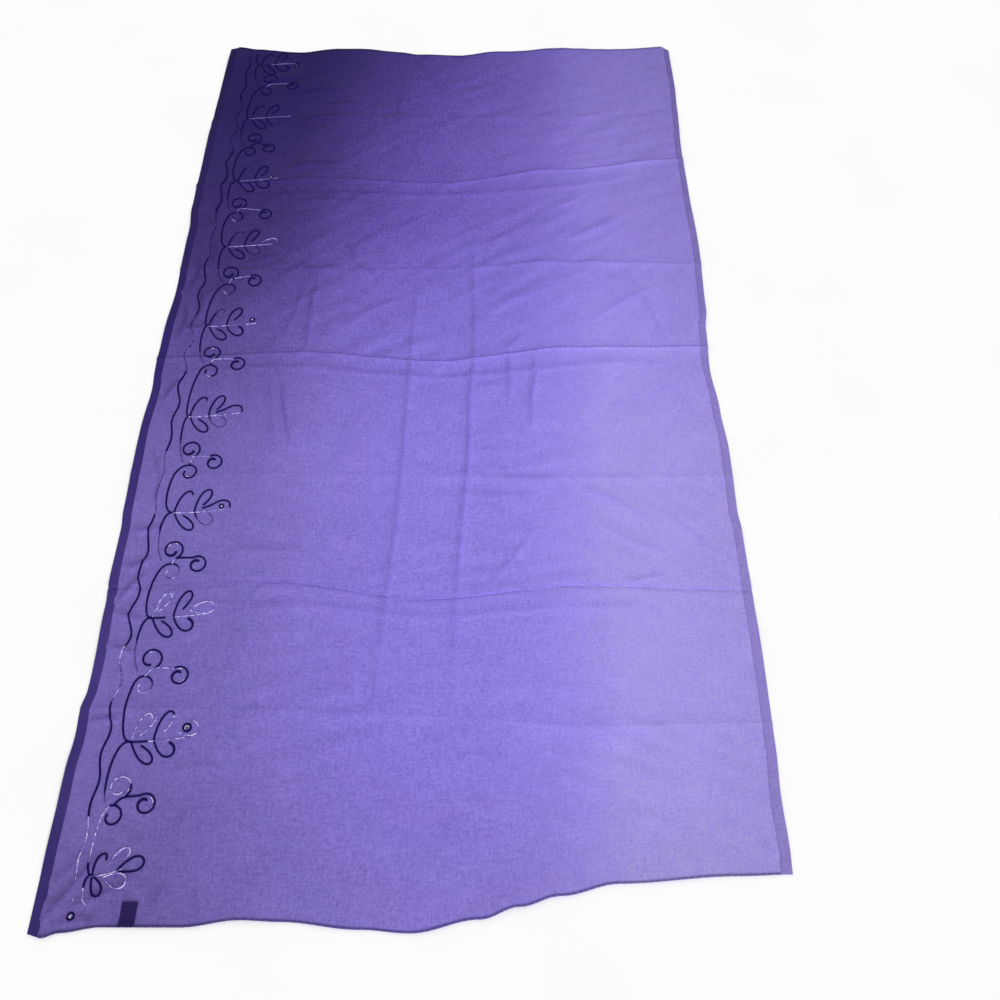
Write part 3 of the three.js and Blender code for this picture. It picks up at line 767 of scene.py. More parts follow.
# %% Motif table and stroke formulas
# Far to near: the joint, and from it the head where the stem starts, the crown's and the curl's
# middles, the foot where the tail would end, how far stem and tail bow out, the share of the stem
# that the cloth's end cuts off, and whether there is a crown
MOTIFS = table(
    "x y head_x head_y crown_x crown_y curl_x curl_y foot_x foot_y bow cut crowned",
    (-452, 903, 14, 105, 0, 0, 0, 0, 22, -78, 19, 0.56, 0),
    (-450, 713, 20, 110, 26, 136, 82, 112, 11, -98, 21, 0, 1),
    (-450, 510, 11, 105, 16, 135, 52, 102, 10, -96, 21, 0, 1),
    (-444, 315, 4, 100, 4, 125, 64, 93, 17, -102, 21, 0, 1),
    (-450, 103, 23, 110, 21, 138, 72, 118, 18, -95, 19, 0, 1),
    (-452, -110, 20, 118, 17, 146, 70, 120, 17, -105, 17, 0, 1),
    (-445, -312, 10, 97, 6, 130, 52, 103, 11, -97, 24, 0, 1),
    (-447, -506, 15, 97, 12, 122, 57, 96, 8, -96, 21, 0, 1),
    (-442, -707, 2, 102, 7, 130, 55, 103, -9, -95, 20, 0, 1),
    (-459, -897, 10, 96, 14, 122, 56, 98, 8, -40, 13, 0, 1),
)
motif_rows = [dict(zip(MOTIFS, values)) for values in zip(*MOTIFS.values())]
TAIL_DRAWN = 0.84
BOW_POWER = 0.7
# Each spiral's radius, the angle where it starts and how far it turns, in degrees
SPIRALS = {
    "crown": {"radius": 17, "start": -62, "sweep": 400},
    "curl": {"radius": 15, "start": 125, "sweep": -420},
    "head": {"radius": 15, "start": 90, "sweep": -290},
}
SPIRAL_CLOSES = 0.62
LEAF_FULLNESS = 0.65
STALK_FOOT = (-3, -1)
STALK_SAG = 4
FORK = (34, 3)
NEAR_FORK = (34, 7)
# The last motif, at the near end, has a smaller spray than the others
FULL_SPRAY = {
    "low_leaf": {"root": (0, 0), "angle": -42, "length": 48, "width": 17, "side": -1, "drawn": 1.6},
    "high_leaf": {"root": (0, 0), "angle": 62, "length": 48, "width": 16, "side": 1, "drawn": 1.2},
    "right_leaf": {"root": FORK, "angle": 63, "length": 48, "width": 17, "side": 1, "drawn": 1.6},
    "hook_leaf": {"root": FORK, "angle": -34, "length": 39, "width": 21, "side": -1, "drawn": 1.45},
}
NEAR_SPRAY = {
    "high_leaf": {"root": (0, 0), "angle": 66, "length": 32, "width": 12, "side": 1, "drawn": 1.3},
    "low_leaf": {"root": (0, 0), "angle": -62, "length": 30, "width": 14, "side": 1, "drawn": 1.85},
    "right_leaf": {"root": NEAR_FORK, "angle": 21, "length": 38, "width": 19, "side": 1, "drawn": 1.85},
}
STALK_ENDS = {"full": (90, 8), "near": (40, 9)}
# A wavy line that a few sprays have beyond the right leaf
WAVE = [(47, 9), (60, 15), (78, 25), (91, 22), (95, 11)]
WAVY = (6, 7)
STROKE_POINTS = 60
share_line = np.linspace(0, 1, STROKE_POINTS)


def spiral(centre, radius, start, sweep):
    """r = radius (1 - SPIRAL_CLOSES share^2) at an angle from start through sweep, in degrees."""
    spoke = radius * (1 - SPIRAL_CLOSES * share_line**2)
    angle = np.radians(start + sweep * share_line)
    return np.stack([centre[0] + spoke * np.cos(angle), centre[1] + spoke * np.sin(angle)], axis=-1)


def bowed(start, end, bow, first, last):
    """x runs straight less bow sin(pi s)^BOW_POWER, a broad bow with tight turns, and y is eased,
    so both ends leave level."""
    s = mix(first, last, share_line)
    x = mix(start[0], end[0], s) - bow * np.clip(np.sin(np.pi * s), 0, 1) ** BOW_POWER
    return np.stack([x, mix(start[1], end[1], (1 - np.cos(np.pi * s)) / 2)], axis=-1)


def leaf(root, angle, length, width, side, drawn):
    """A teardrop: along = length (1 - cos t) / 2 and across = LEAF_FULLNESS width sin t sin(t/2),
    for t from 0 to drawn half turns, then turned by its angle and moved to its root."""
    turn = np.pi * drawn * share_line
    along = length * (1 - np.cos(turn)) / 2
    across = side * LEAF_FULLNESS * width * np.sin(turn) * np.sin(turn / 2)
    cos, sin = np.cos(np.radians(angle)), np.sin(np.radians(angle))
    return np.stack([root[0] + along * cos - across * sin, root[1] + along * sin + across * cos], -1)


def quadratic(start, pull, end):
    """A curve from start to end that leaves towards pull and comes in from it (a Bezier curve)."""
    s = share_line[:, None]
    return (1 - s) ** 2 * np.array(start) + 2 * s * (1 - s) * np.array(pull) + s**2 * np.array(end)


def motif_strokes(motif, row):
    """Every stroke of one motif by name, as points in millimetres."""
    head, joint, foot = (row["head_x"], row["head_y"]), (0, 0), (row["foot_x"], row["foot_y"])
    last = motif == len(motif_rows)
    end = STALK_ENDS["near" if last else "full"]
    lines = {
        "stem": bowed(head, joint, row["bow"], row["cut"], 1),
        "tail": bowed(joint, foot, row["bow"], 0, TAIL_DRAWN),
        "stalk": quadratic(STALK_FOOT, (end[0] / 2, end[1] / 2 - STALK_SAG), end),
    }
    spray = NEAR_SPRAY if last else FULL_SPRAY
    lines |= {name: leaf(**sizes) for name, sizes in spray.items()}
    if motif in WAVY:
        lines["wave"] = smooth_path(WAVE, steps=15)
    if row["crowned"]:
        below_head = (head[0], head[1] - SPIRALS["head"]["radius"])
        lines["crown"] = spiral((row["crown_x"], row["crown_y"]), **SPIRALS["crown"])
        lines["curl"] = spiral((row["curl_x"], row["curl_y"]), **SPIRALS["curl"])
        lines["link"] = smooth_path([head, lines["crown"][0], lines["curl"][0]], steps=20)
        lines["head"] = spiral(below_head, **SPIRALS["head"])
    return {name: line + np.array([row["x"], row["y"]]) for name, line in lines.items()}


def read_off(places, known, path):
    """The path at these places, where known gives the place of each of its points."""
    return np.stack([np.interp(places, known, path[:, k]) for k in (0, 1)], axis=-1)


def left_of(heading):
    """The headings turned a quarter to the left."""
    return np.stack([-heading[:, 1], heading[:, 0]], axis=-1)


def evenly(path, pitch):
    """Points a pitch apart along a path, and the unit heading at each, both read off its length."""
    passed = np.concatenate([[0], np.cumsum(np.hypot(*np.diff(path, axis=0).T))])
    count = max(2, round(passed[-1] / pitch))
    places = (np.arange(count) + 0.5) * passed[-1] / count
    points = read_off(places, passed, path)
    heading = read_off(places + pitch / 4, passed, path) - read_off(places - pitch / 4, passed, path)
    return points, heading / np.hypot(*heading.T)[:, None], places / passed[-1]


# %% [markdown]
# ## Which thread goes where
#
# The dark cord carries the drawing. Silver thread takes over along some strokes and runs beside
# others as a glint, and in a few places the dark cord has worn away to almost nothing. One table
# lists the silver runs: the motif, the stroke, the shares it runs between, and how far beside the
# dark cord it lies, where 0 means that it takes the cord's place. Another lists the worn runs.

# %% Silver and worn runs, and the extra silver leaves
SILVER_RUNS = [
    (1, "stalk", 0.3, 0.9, 0), (2, "link", 0, 1, 0), (2, "stalk", 0, 1, 0), (3, "stalk", 0, 1, 0),
    (4, "link", 0, 1, 0), (4, "stalk", 0, 1, 0), (4, "head", 0.6, 0.9, 0),
    (5, "link", 0, 1, 0), (5, "stalk", 0, 1, 0), (5, "head", 0.6, 0.9, 0),
    (6, "link", 0.2, 1, 0), (6, "stalk", 0, 1, 0), (6, "crown", 0.25, 0.4, 2.6), (6, "head", 0.55, 0.8, 0),
    (7, "link", 0.1, 1, 0), (7, "stalk", 0, 1, 0), (7, "head", 0.45, 0.7, -2.4),
    (7, "hook_leaf", 0.5, 0.7, 2.4),
    (8, "stalk", 0.25, 1, 0), (8, "high_leaf", 0, 1, 0), (8, "link", 0, 0.5, 0),
    (8, "crown", 0.3, 0.5, 2.6), (8, "head", 0.3, 0.55, 0), (8, "head", 0.8, 1, 0),
    (9, "stalk", 0.3, 1, 0), (9, "high_leaf", 0, 1, 0), (9, "link", 0, 1, 0), (9, "head", 0.4, 1, 0),
    (9, "right_leaf", 0.72, 1, 0), (9, "crown", 0.28, 0.5, 2.6), (9, "curl", 0.36, 0.5, -2.6),
    (9, "crown", 0.85, 1, 0), (9, "curl", 0.02, 0.12, -2.6),
    (10, "stalk", 0, 1, 0), (10, "crown", 0.2, 1, 0), (10, "crown", 0, 0.14, 2.6),
    (10, "stem", 0.05, 0.72, 0), (10, "curl", 0.12, 0.42, -2.6), (10, "tail", 0.5, 1, 0),
]
WORN_RUNS = [
    (1, "tail", 0.55), (2, "tail", 0.5), (3, "tail", 0.6), (4, "tail", 0.55), (5, "tail", 0.65),
    (6, "tail", 0.5), (7, "tail", 0.4), (8, "tail", 0.45), (9, "tail", 0.8), (6, "hook_leaf", 0.1),
    (7, "hook_leaf", 0.15), (4, "hook_leaf", 0.2), (2, "hook_leaf", 0.3), (8, "head", 0.1),
    (9, "head", 0.2), (4, "head", 0.35), (5, "head", 0.3), (3, "high_leaf", 0.6),
    (5, "high_leaf", 0.55), (4, "high_leaf", 0.45),
]
SILVER_LEAVES = [
    (4, {"root": (70, 12), "angle": 8, "length": 30, "width": 15, "side": 1, "drawn": 1.1}),
    (8, {"root": (57, 14), "angle": 8, "length": 42, "width": 19, "side": 1, "drawn": 1.85}),
    (8, {"root": (4, 8), "angle": 62, "length": 44, "width": 15, "side": 1, "drawn": 1.85}),
    (9, {"root": (70, 14), "angle": 20, "length": 30, "width": 22, "side": -1, "drawn": 1.5}),
    (9, {"root": (8, 6), "angle": 60, "length": 44, "width": 14, "side": -1, "drawn": 1.1}),
    (10, {"root": (20, 14), "angle": 40, "length": 34, "width": 14, "side": 1, "drawn": 1.4}),
    (10, {"root": (16, -2), "angle": -12, "length": 34, "width": 20, "side": 1, "drawn": 1.85}),
]
# Along the trail, far to near: silver stretches and bare ones, by y
TRAIL_SILVER = [(-555, -585), (-625, -640), (-816, -932)]
TRAIL_BARE = [(775, 605), (415, 280), (130, -8), (-185, -315), (-585, -625), (-640, -645)]


def run_of(path, first, last, beside):
    """The stretch of a path between two shares, moved sideways: left of its heading is positive."""
    places = mix(first, last, np.linspace(0, 1, STROKE_POINTS)) * (len(path) - 1)
    points = read_off(places, np.arange(len(path)), path)
    heading = np.gradient(points, axis=0)
    heading /= np.hypot(*heading.T)[:, None]
    return points + beside * left_of(heading)


# %% [markdown]
# ## Chain stitch
#
# The cord is a chain of loops, each pulled up through the one before. One loop is a teardrop ring
# of yarn whose head rides over the tail of the last: ten points round and four round the yarn. The
# same forty points, turned to each heading and set on the cloth, make every loop of a motif in one
# array sum, so a few thousand stitches cost no loop over points.

# %% One chain loop, repeated along strokes
LOOP_LENGTH = 3.9
LOOP_WIDTH = 2.1
LOOP_PITCH = 3.1
YARN_RADIUS = 0.74
LOOP_POINTS = 10
YARN_SIDES = 4
LOOP_TAPER = 0.3
LOOP_RISE = 0.3
LOOP_SEAT = 0.75  # the height of the yarn's middle over the cloth, in yarn radii
WORN_THINNEST = 0.6
WORN_OVER = 0.12  # the share of a stroke over which the wear comes on
HEAVIEST = 1.35  # the cord is doubled where a curl ends
HEAVY = ("crown", "curl", "hook_leaf")
HEAVY_FROM = 0.7
HEAVY_OVER = 0.2
SHORTEST_RUN = 0.02
NEVER = 2  # a share that no stroke reaches


def chain_loop():
    """One loop as (points round, sides, [along, across, up]). along = length/2 cos a, across =
    width/2 sin a (1 - LOOP_TAPER cos a), and the centre line rises LOOP_RISE towards the head."""
    a = np.linspace(0, 2 * np.pi, LOOP_POINTS, endpoint=False)[:, None]
    b = np.linspace(0, 2 * np.pi, YARN_SIDES, endpoint=False)[None, :] + np.pi / 4
    out = YARN_RADIUS * np.cos(b)
    along = (LOOP_LENGTH / 2 + out) * np.cos(a)
    across = (LOOP_WIDTH / 2 * (1 - LOOP_TAPER * np.cos(a)) + out) * np.sin(a)
    up = YARN_RADIUS * (LOOP_SEAT + np.sin(b)) + LOOP_RISE * np.cos(a)
    return np.stack([along, across, up], axis=-1)


def loop_faces(loops):
    """Quads of every loop, closed both ways round."""
    a, b = np.meshgrid(np.arange(LOOP_POINTS), np.arange(YARN_SIDES), indexing="ij")
    next_a, next_b = (a + 1) % LOOP_POINTS, (b + 1) % YARN_SIDES
    quad = [a * YARN_SIDES + b, next_a * YARN_SIDES + b]
    quad += [next_a * YARN_SIDES + next_b, a * YARN_SIDES + next_b]
    quad = np.stack(quad, axis=-1).reshape(1, -1, 4)
    first = np.arange(loops).reshape(-1, 1, 1) * LOOP_POINTS * YARN_SIDES
    return (first + quad).reshape(-1, 4).tolist()


def laid_on_cloth(form, places, headings, size=1):
    """A form of (rings, sides, [along, across, up]) at each place: turned to its heading, as wide
    and high as its size says, and lifted by the cloth's own height at every point."""
    form = form[None]
    flat = places[:, None, None, :] + form[..., :1] * headings[:, None, None, :]
    flat = flat + (form[..., 1] * size)[..., None] * left_of(headings)[:, None, None, :]
    z = cloth_top(flat[..., 0], flat[..., 1]) + form[..., 2] * size
    return np.concatenate([flat, z[..., None]], axis=-1)


def chain_object(name, places, headings, worn, weight=1):
    """A chain of loops at these places. A worn loop is drawn thinner and a weighted one thicker,
    and each keeps its wear as a value on its points for the finish to read."""
    size = (mix(1, WORN_THINNEST, worn) * weight)[:, None, None]
    points = laid_on_cloth(chain_loop(), places, headings, size).reshape(-1, 3)
    made = solid_object(name, points, loop_faces(len(places)))
    wear = made.data.attributes.new("worn", "FLOAT", "POINT")
    wear.data.foreach_set("value", np.repeat(worn, LOOP_POINTS * YARN_SIDES).astype(np.float32))
    return made


def dark_runs(motif, strokes):
    """The dark stretches of a motif's strokes: each stroke less the shares that silver replaces."""
    for name, path in strokes.items():
        taken = sorted(run[2:4] for run in SILVER_RUNS if run[:2] == (motif, name) and run[4] == 0)
        start = 0
        for first, last in [*taken, (1, 1)]:
            if first - start > SHORTEST_RUN:
                yield name, start, run_of(path, start, first, 0), first
            start = last


def chain_motif(motif, row):
    """One motif's dark cord, loop by loop."""
    worn_from = {(number, name): start for number, name, start in WORN_RUNS}
    places, headings, worn, weight = [], [], [], []
    for name, start, path, end in dark_runs(motif, motif_strokes(motif, row)):
        points, heading, share = evenly(path, LOOP_PITCH)
        passed = mix(start, end, share)
        places.append(points)
        headings.append(heading)
        worn.append(np.clip((passed - worn_from.get((motif, name), NEVER)) / WORN_OVER, 0, 1))
        heavy = np.clip((passed - HEAVY_FROM) / HEAVY_OVER, 0, 1) if name in HEAVY else 0 * passed
        weight.append(mix(1, HEAVIEST, heavy))
    loops = np.vstack(places), np.vstack(headings), np.concatenate(worn), np.concatenate(weight)
    return chain_object(f"corded_motif_{motif:02d}", *loops)


corded = []
for motif, row in enumerate(motif_rows, start=1):
    piece = chain_motif(motif, row)
    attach(piece, "root")
    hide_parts(f"vine_motif_{motif:02d}")
    corded.append(piece)

# %% [markdown]
# ## The trail
#
# Left of the motifs one plain line winds from end to end. It is the same chain. Where it was stitched in
# silver, or has come away, the loops are left out.

# %% The trail's chain
TRAIL_START = np.radians(115)
SURGE_START = 1
TRAIL_POINTS = 900
COME_AWAY = 0.3  # the share of loops that are gone where the trail is bare
BARE_WEAR = 0.9


def trail_x(y):
    """x = centre + swing sin(2 pi y / wave + TRAIL_START), and the swing itself grows and shrinks
    by surge sin(2 pi y / surge_wave + SURGE_START)."""
    surge = TRAIL["surge"] * np.sin(2 * np.pi * y / TRAIL["surge_wave"] + SURGE_START)
    return TRAIL["x"] + (TRAIL["swing"] + surge) * np.sin(2 * np.pi * y / TRAIL["wave"] + TRAIL_START)


def within(y, stretches):
    """True where y is in one of the stretches, each given far end first."""
    return np.any([(y < far) & (y > near) for far, near in stretches], axis=0)


trail_line = np.linspace(TRAIL["far"], TRAIL["near"], TRAIL_POINTS)
trail_path = np.stack([trail_x(trail_line), trail_line], axis=-1)
trail_points, trail_heading, _ = evenly(trail_path, LOOP_PITCH)
bare = within(trail_points[:, 1], TRAIL_BARE)
come_away = bare & (np.random.default_rng(31).random(len(bare)) < COME_AWAY)
stitched = ~within(trail_points[:, 1], TRAIL_SILVER) & ~come_away
trail_worn = BARE_WEAR * bare[stitched]
trail = chain_object("corded_trail", trail_points[stitched], trail_heading[stitched], trail_worn)
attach(trail, "root")
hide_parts("vine_trail")

# %% [markdown]
# ## Silver thread
#
# The silver is a flat metal strip wound on a core and laid down in short stitches. Each is a
# spindle: five sided, thin at both ends, a hair off the line, some missing. The misses and tilts
# matter more than the spindle's own shape, because a broken glint is what tells metal thread from
# a painted line.

# %% Silver stitches
STITCH_LENGTH = 6.4
STITCH_PITCH = 4.6
STITCH_WIDTH = 1.9
STITCH_SIDES = 5
STITCH_RINGS = 5
STITCH_TIP = 0.04  # the share cut off each end of the spindle, so that it ends in a small face
STITCH_TWIST = 2.4
STITCH_LIFT = 0.55
MISSING = 0.05
TILT = np.radians(7)

stitch_rng = np.random.default_rng(23)


def stitch_form():
    """One spindle as (rings, sides, [along, across, up]): radius = width/2 sin(pi s)^0.6, with the
    sides turned a little from ring to ring like a wound strip."""
    s = np.linspace(STITCH_TIP, 1 - STITCH_TIP, STITCH_RINGS)[:, None]
    b = np.linspace(0, 2 * np.pi, STITCH_SIDES, endpoint=False)[None, :] + STITCH_TWIST * s
    radius = STITCH_WIDTH / 2 * np.sin(np.pi * s) ** 0.6
    along = STITCH_LENGTH * (s - 0.5) + 0 * b
    return np.stack([along, radius * np.cos(b), STITCH_LIFT + radius * np.sin(b)], axis=-1)


def silver_object(name, paths):
    """All silver stitches of one piece. Each keeps a glint from 0 to 1, a random brightness that the finish
    paints into its colour as a highlight.
    """
    laid = [evenly(path, STITCH_PITCH)[:2] for path in paths]
    places = np.vstack([points for points, _ in laid])
    headings = np.vstack([heading for _, heading in laid])
    kept = stitch_rng.random(len(places)) > MISSING
    places, headings = places[kept], headings[kept]
    turn = stitch_rng.normal(0, TILT, len(places))
    cos, sin = np.cos(turn), np.sin(turn)
    turned = [headings[:, 0] * cos - headings[:, 1] * sin, headings[:, 0] * sin + headings[:, 1] * cos]
    points = laid_on_cloth(stitch_form(), places, np.stack(turned, axis=-1))
    each = STITCH_RINGS * STITCH_SIDES
    _, one = carried_section(points[0][::-1])
    faces = [[corner + k * each for corner in face] for k in range(len(places)) for face in one]
    made = solid_object(name, points[:, ::-1].reshape(-1, 3), faces, smooth=False)
    # Painted highlight: a random brightness for each stitch, which the finish paints into its colour
    glint = made.data.attributes.new("glint", "FLOAT", "POINT")
    glint.data.foreach_set("value", np.repeat(stitch_rng.random(len(places)), each).astype(np.float32))
    return made


silvered = []
for motif, row in enumerate(motif_rows, start=1):
    strokes = motif_strokes(motif, row)
    paths = [run_of(strokes[name], *rest) for number, name, *rest in SILVER_RUNS if number == motif]
    at = np.array([row["x"], row["y"]])
    paths += [leaf(**sizes) + at for number, sizes in SILVER_LEAVES if number == motif]
    silvered.append(silver_object(f"silver_motif_{motif:02d}", paths))

paths = [trail_path[within(trail_path[:, 1], [stretch])] for stretch in TRAIL_SILVER]
silvered.append(silver_object("silver_trail", paths))
for piece in silvered:
    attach(piece, "root")

# %% [markdown]
# ## Stones
#
# A few motifs end in a small cut stone in a nest of dark chain stitch. A round cut is four
# staggered rings of points: the foot, the girdle, the crown and the table. Flat shading keeps every
# facet plain. The nest is the same chain loop again, walked once round a circle.

# %% Cut stones and their nests
STONES = table(
    "x y radius nest",
    (-360.5, -685.5, 4.0, 6.0), (-365.5, -298.5, 2.1, 3.2), (-367.5, 120.5, 2.8, 3.9),
    (-379.5, 518.5, 2.8, 3.9), (-367.5, 903.5, 1.9, 3.0), (-477.5, -949.5, 2.9, 4.4),
)
# Each ring of a stone: its radius and height as shares of the stone's, and its stagger in facets
STONE_RINGS = table("radius height stagger", (0.9, 0, 0), (1, 0.22, 0.5), (0.74, 0.55, 1), (0.42, 0.72, 1.5))
STONE_FACETS = 9
STONE_LIFT = 0.2
FEWEST_LOOPS = 6


def cut_stone(x, y, radius):
    """Rings of points round the stone's axis, each turned half a facet from the last."""
    facet = 2 * np.pi / STONE_FACETS
    angle = facet * (np.arange(STONE_FACETS) + STONE_RINGS["stagger"][:, None])
    spoke = radius * STONE_RINGS["radius"][:, None]
    up = radius * STONE_RINGS["height"][:, None] + 0 * angle
    base = cloth_top(x, y) + STONE_LIFT
    rings = np.stack([x + spoke * np.cos(angle), y + spoke * np.sin(angle), base + up], axis=-1)
    return carried_section(rings[::-1])


def nest_ring(x, y, nest):
    """Points and headings of the chain walked once round a stone, LOOP_PITCH apart or closer."""
    count = max(FEWEST_LOOPS, round(2 * np.pi * nest / LOOP_PITCH) + 1)
    angle = np.linspace(0, 2 * np.pi, count, endpoint=False)
    spoke = np.stack([np.cos(angle), np.sin(angle)], axis=-1)
    return np.array([x, y]) + nest * spoke, left_of(spoke)


stones = []
for number, (x, y, radius, _) in enumerate(zip(*STONES.values()), start=1):
    stone = solid_object(f"cut_stone_{number}", *cut_stone(x, y, radius), smooth=False)
    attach(stone, "root")
    stones.append(stone)

rings = [nest_ring(x, y, nest) for x, y, _, nest in zip(*STONES.values())]
nest_places, nest_headings = (np.vstack(part) for part in zip(*rings))
nests = chain_object("stone_nests", nest_places, nest_headings, np.zeros(len(nest_places)))
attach(nests, "root")

# %% [markdown]
# ## Writing shader maths as Python
#
# A finish is a small graph of nodes. Written by hand, one sum of three numbers takes six lines, so
# a small class wraps an output socket and turns +, -, * and / into Math nodes. Everything else
# comes from one method that adds any node: its settings first, then its inputs.

# %% A socket that can be added and multiplied


class Value:
    """A number that changes over the surface: an output socket of a node."""

    def __init__(self, finish, socket):
        self.finish = finish
        self.socket = socket

    def maths(self, operation, first, second):
        return self.finish.node("ShaderNodeMath", {"operation": operation}, [first, second])

    def __add__(self, other):
        return self.maths("ADD", self, other)

    def __sub__(self, other):
        return self.maths("SUBTRACT", self, other)

    def __rsub__(self, other):
        return self.maths("SUBTRACT", other, self)

    def __mul__(self, other):
        return self.maths("MULTIPLY", self, other)

    def __truediv__(self, other):
        return self.maths("DIVIDE", self, other)

    __radd__ = __add__
    __rmul__ = __mul__


class Finish:
    """A material in the making."""

    def __init__(self, name):
        self.material = bpy.data.materials.new(name)
        self.material.use_nodes = True
        self.tree = self.material.node_tree
        self.tree.nodes.clear()

    def node(self, kind, settings=None, inputs=(), output=0):
        """Adds a node. settings come first, and stops among them fill a ramp; inputs are values or
        links, in order or by name; output is the name or number of the socket that is returned."""
        made = self.tree.nodes.new(kind)
        for name, value in (settings or {}).items():
            if name == "stops":
                self.fill_ramp(made.color_ramp, value)
            else:
                setattr(made, name, value)
        pairs = inputs.items() if isinstance(inputs, dict) else enumerate(inputs)
        for key, value in pairs:
            if isinstance(value, Value):
                self.tree.links.new(value.socket, made.inputs[key])
            else:
                made.inputs[key].default_value = value
        return Value(self, made.outputs[output])

    def fill_ramp(self, ramp, stops):
        """Gives a ramp its stops, each a place and a grey or a colour."""
        while len(ramp.elements) < len(stops):
            ramp.elements.new(1)
        for element, (place, colour) in zip(ramp.elements, stops):
            element.position = place
            element.color = (*(colour if isinstance(colour, tuple) else (colour,) * 3), 1)

    def ramp(self, place, stops):
        """The grey or colour of a ramp at a place from 0 to 1."""
        return self.node("ShaderNodeValToRGB", {"stops": stops}, [place])

    def place(self):
        """The point's own place on the piece, in metres."""
        return self.node("ShaderNodeTexCoord", output="Object")

    def axis(self, place, name):
        """One coordinate of a place."""
        return self.node("ShaderNodeSeparateXYZ", {}, [place], name)

    def share(self, place, axis, half):
        """How far along an axis a place lies, from 0 to 1 between half a size each way, in mm."""
        return self.axis(place, axis) / (2 * half * MM) + 0.5

    def stretched(self, place, scale):
        """A place scaled along each axis, so that a noise read there is drawn out."""
        return self.node("ShaderNodeMapping", {}, {"Vector": place, "Scale": scale})

    def turned(self, place, angle, size):
        """A place turned back by an angle and then divided by a size along each axis."""
        inputs = {"Vector": place, "Rotation": (0, 0, angle), "Scale": size}
        return self.node("ShaderNodeMapping", {"vector_type": "TEXTURE"}, inputs)

    def noise(self, place, scale, detail=2.0, roughness=0.5):
        """Soft noise about 0.5, with features one over scale metres across."""
        sizes = {"Vector": place, "Scale": scale, "Detail": detail, "Roughness": roughness}
        return self.node("ShaderNodeTexNoise", {}, sizes)

    def bands(self, place, direction, scale, distortion=0.0):
        """Bands across X or Y, 20 scale radians of a sine for each metre, or across the diagonal of
        X, Y and Z, where each axis alone adds half as many."""
        settings = {"wave_type": "BANDS", "bands_direction": direction}
        sizes = {"Vector": place, "Scale": scale, "Distortion": distortion}
        return self.node("ShaderNodeTexWave", settings, sizes)

    def tinted(self, share, low, high, blend="MIX"):
        """Two colours mixed by a share, or blended in another way."""
        settings = {"data_type": "RGBA", "blend_type": blend}
        return self.node("ShaderNodeMix", settings, {0: share, 6: low, 7: high}, 2)

    def attribute(self, name):
        """A value that the piece's points carry."""
        return self.node("ShaderNodeAttribute", {"attribute_name": name}, output="Fac")

    def bump(self, height, depth):
        """A normal that leans as if the surface rose by height times depth in metres."""
        return self.node("ShaderNodeBump", {}, {"Height": height, "Distance": depth}, "Normal")

    def surface(self, **inputs):
        """Ends the material with one Principled surface; underscores stand for spaces."""
        named = {name.replace("_", " "): value for name, value in inputs.items()}
        shader = self.node("ShaderNodeBsdfPrincipled", {}, named)
        out = self.tree.nodes.new("ShaderNodeOutputMaterial")
        self.tree.links.new(shader.socket, out.inputs["Surface"])
        return self.material


# %% [markdown]
# ## Dye and painted shade
#
# Colours are written as a dyer's swatch would be read on a screen, and turned into light once. The
# light in this scene brings a level white to a little over 1, so every swatch is divided by that.

# %% Swatches
LIGHT_LEVEL = 1.1


def swatch(red, green, blue):
    """A screen colour from 0 to 255 as linear light: ((c + 0.055) / 1.055)^2.4, and a straight
    line near black, over the light level."""
    screen = np.array([red, green, blue]) / 255
    light = np.where(screen > 0.04045, ((screen + 0.055) / 1.055) ** 2.4, screen / 12.92)
    return tuple((light / LIGHT_LEVEL).tolist())


# Pale to deep, as the share of a full bath: the deepest dye is near black violet
DYE_STOPS = [
    (0.10, swatch(35, 20, 86)), (0.17, swatch(42, 26, 95)), (0.24, swatch(52, 36, 105)),
    (0.36, swatch(71, 53, 130)), (0.49, swatch(97, 78, 168)), (0.63, swatch(121, 102, 199)),
    (0.75, swatch(140, 121, 222)), (0.86, swatch(156, 138, 235)), (0.97, swatch(173, 157, 237)),
]
# Paleness of the dye from the dark side to the pale side, by share of the width
PALE_ACROSS = [
    (0.0, 0.65), (0.10, 0.63), (0.20, 0.665), (0.31, 0.735), (0.41, 0.76), (0.5, 0.785), (0.6, 0.80),
    (0.67, 0.835), (0.72, 0.875), (0.79, 0.945), (0.87, 0.955), (1.0, 0.92),
]
# Painted shade: how much darker the colour is made from the near end to the far end, where the light falls
# off, by share of the length
PAINTED_SHADE_ALONG = [
    (0.0, 0.075), (0.11, 0.02), (0.2, 0.008), (0.34, 0.0), (0.42, 0.04), (0.5, 0.105), (0.577, 0.185),
    (0.654, 0.275), (0.73, 0.32), (0.81, 0.375), (0.885, 0.435), (0.96, 0.49), (1.0, 0.52),
]
# The share of that painted shade that each part of the width takes up, most on the dark side, halved to stay
# under 1
SHADE_ACROSS = [
    (0.0, 0.6), (0.2, 0.58), (0.31, 0.52), (0.41, 0.45), (0.5, 0.4), (0.6, 0.34), (0.77, 0.285), (1.0, 0.22),
]
# How much the colour is greyed by share of the width, at the near end, in the middle and at the far end, and
# the two ends' parts in it by share of the length
GREYED_NEAR = [(0.0, 0.95), (0.12, 0.9), (0.3, 0.6), (0.5, 0.4), (0.72, 0.45), (0.9, 0.6), (1.0, 0.6)]
GREYED_MIDDLE = [
    (0.0, 0.75), (0.12, 0.7), (0.3, 0.35), (0.41, 0.1), (0.5, 0.0), (0.72, 0.0), (0.9, 0.1), (1.0, 0.35),
]
GREYED_FAR = [(0.0, 0.0), (0.45, 0.0), (0.58, 0.15), (0.72, 0.4), (0.9, 0.7), (1.0, 0.75)]
NEAR_PART = [(0.02, 1.0), (0.14, 0.0)]
FAR_PART = [(0.5, 0.0), (0.9, 1.0)]
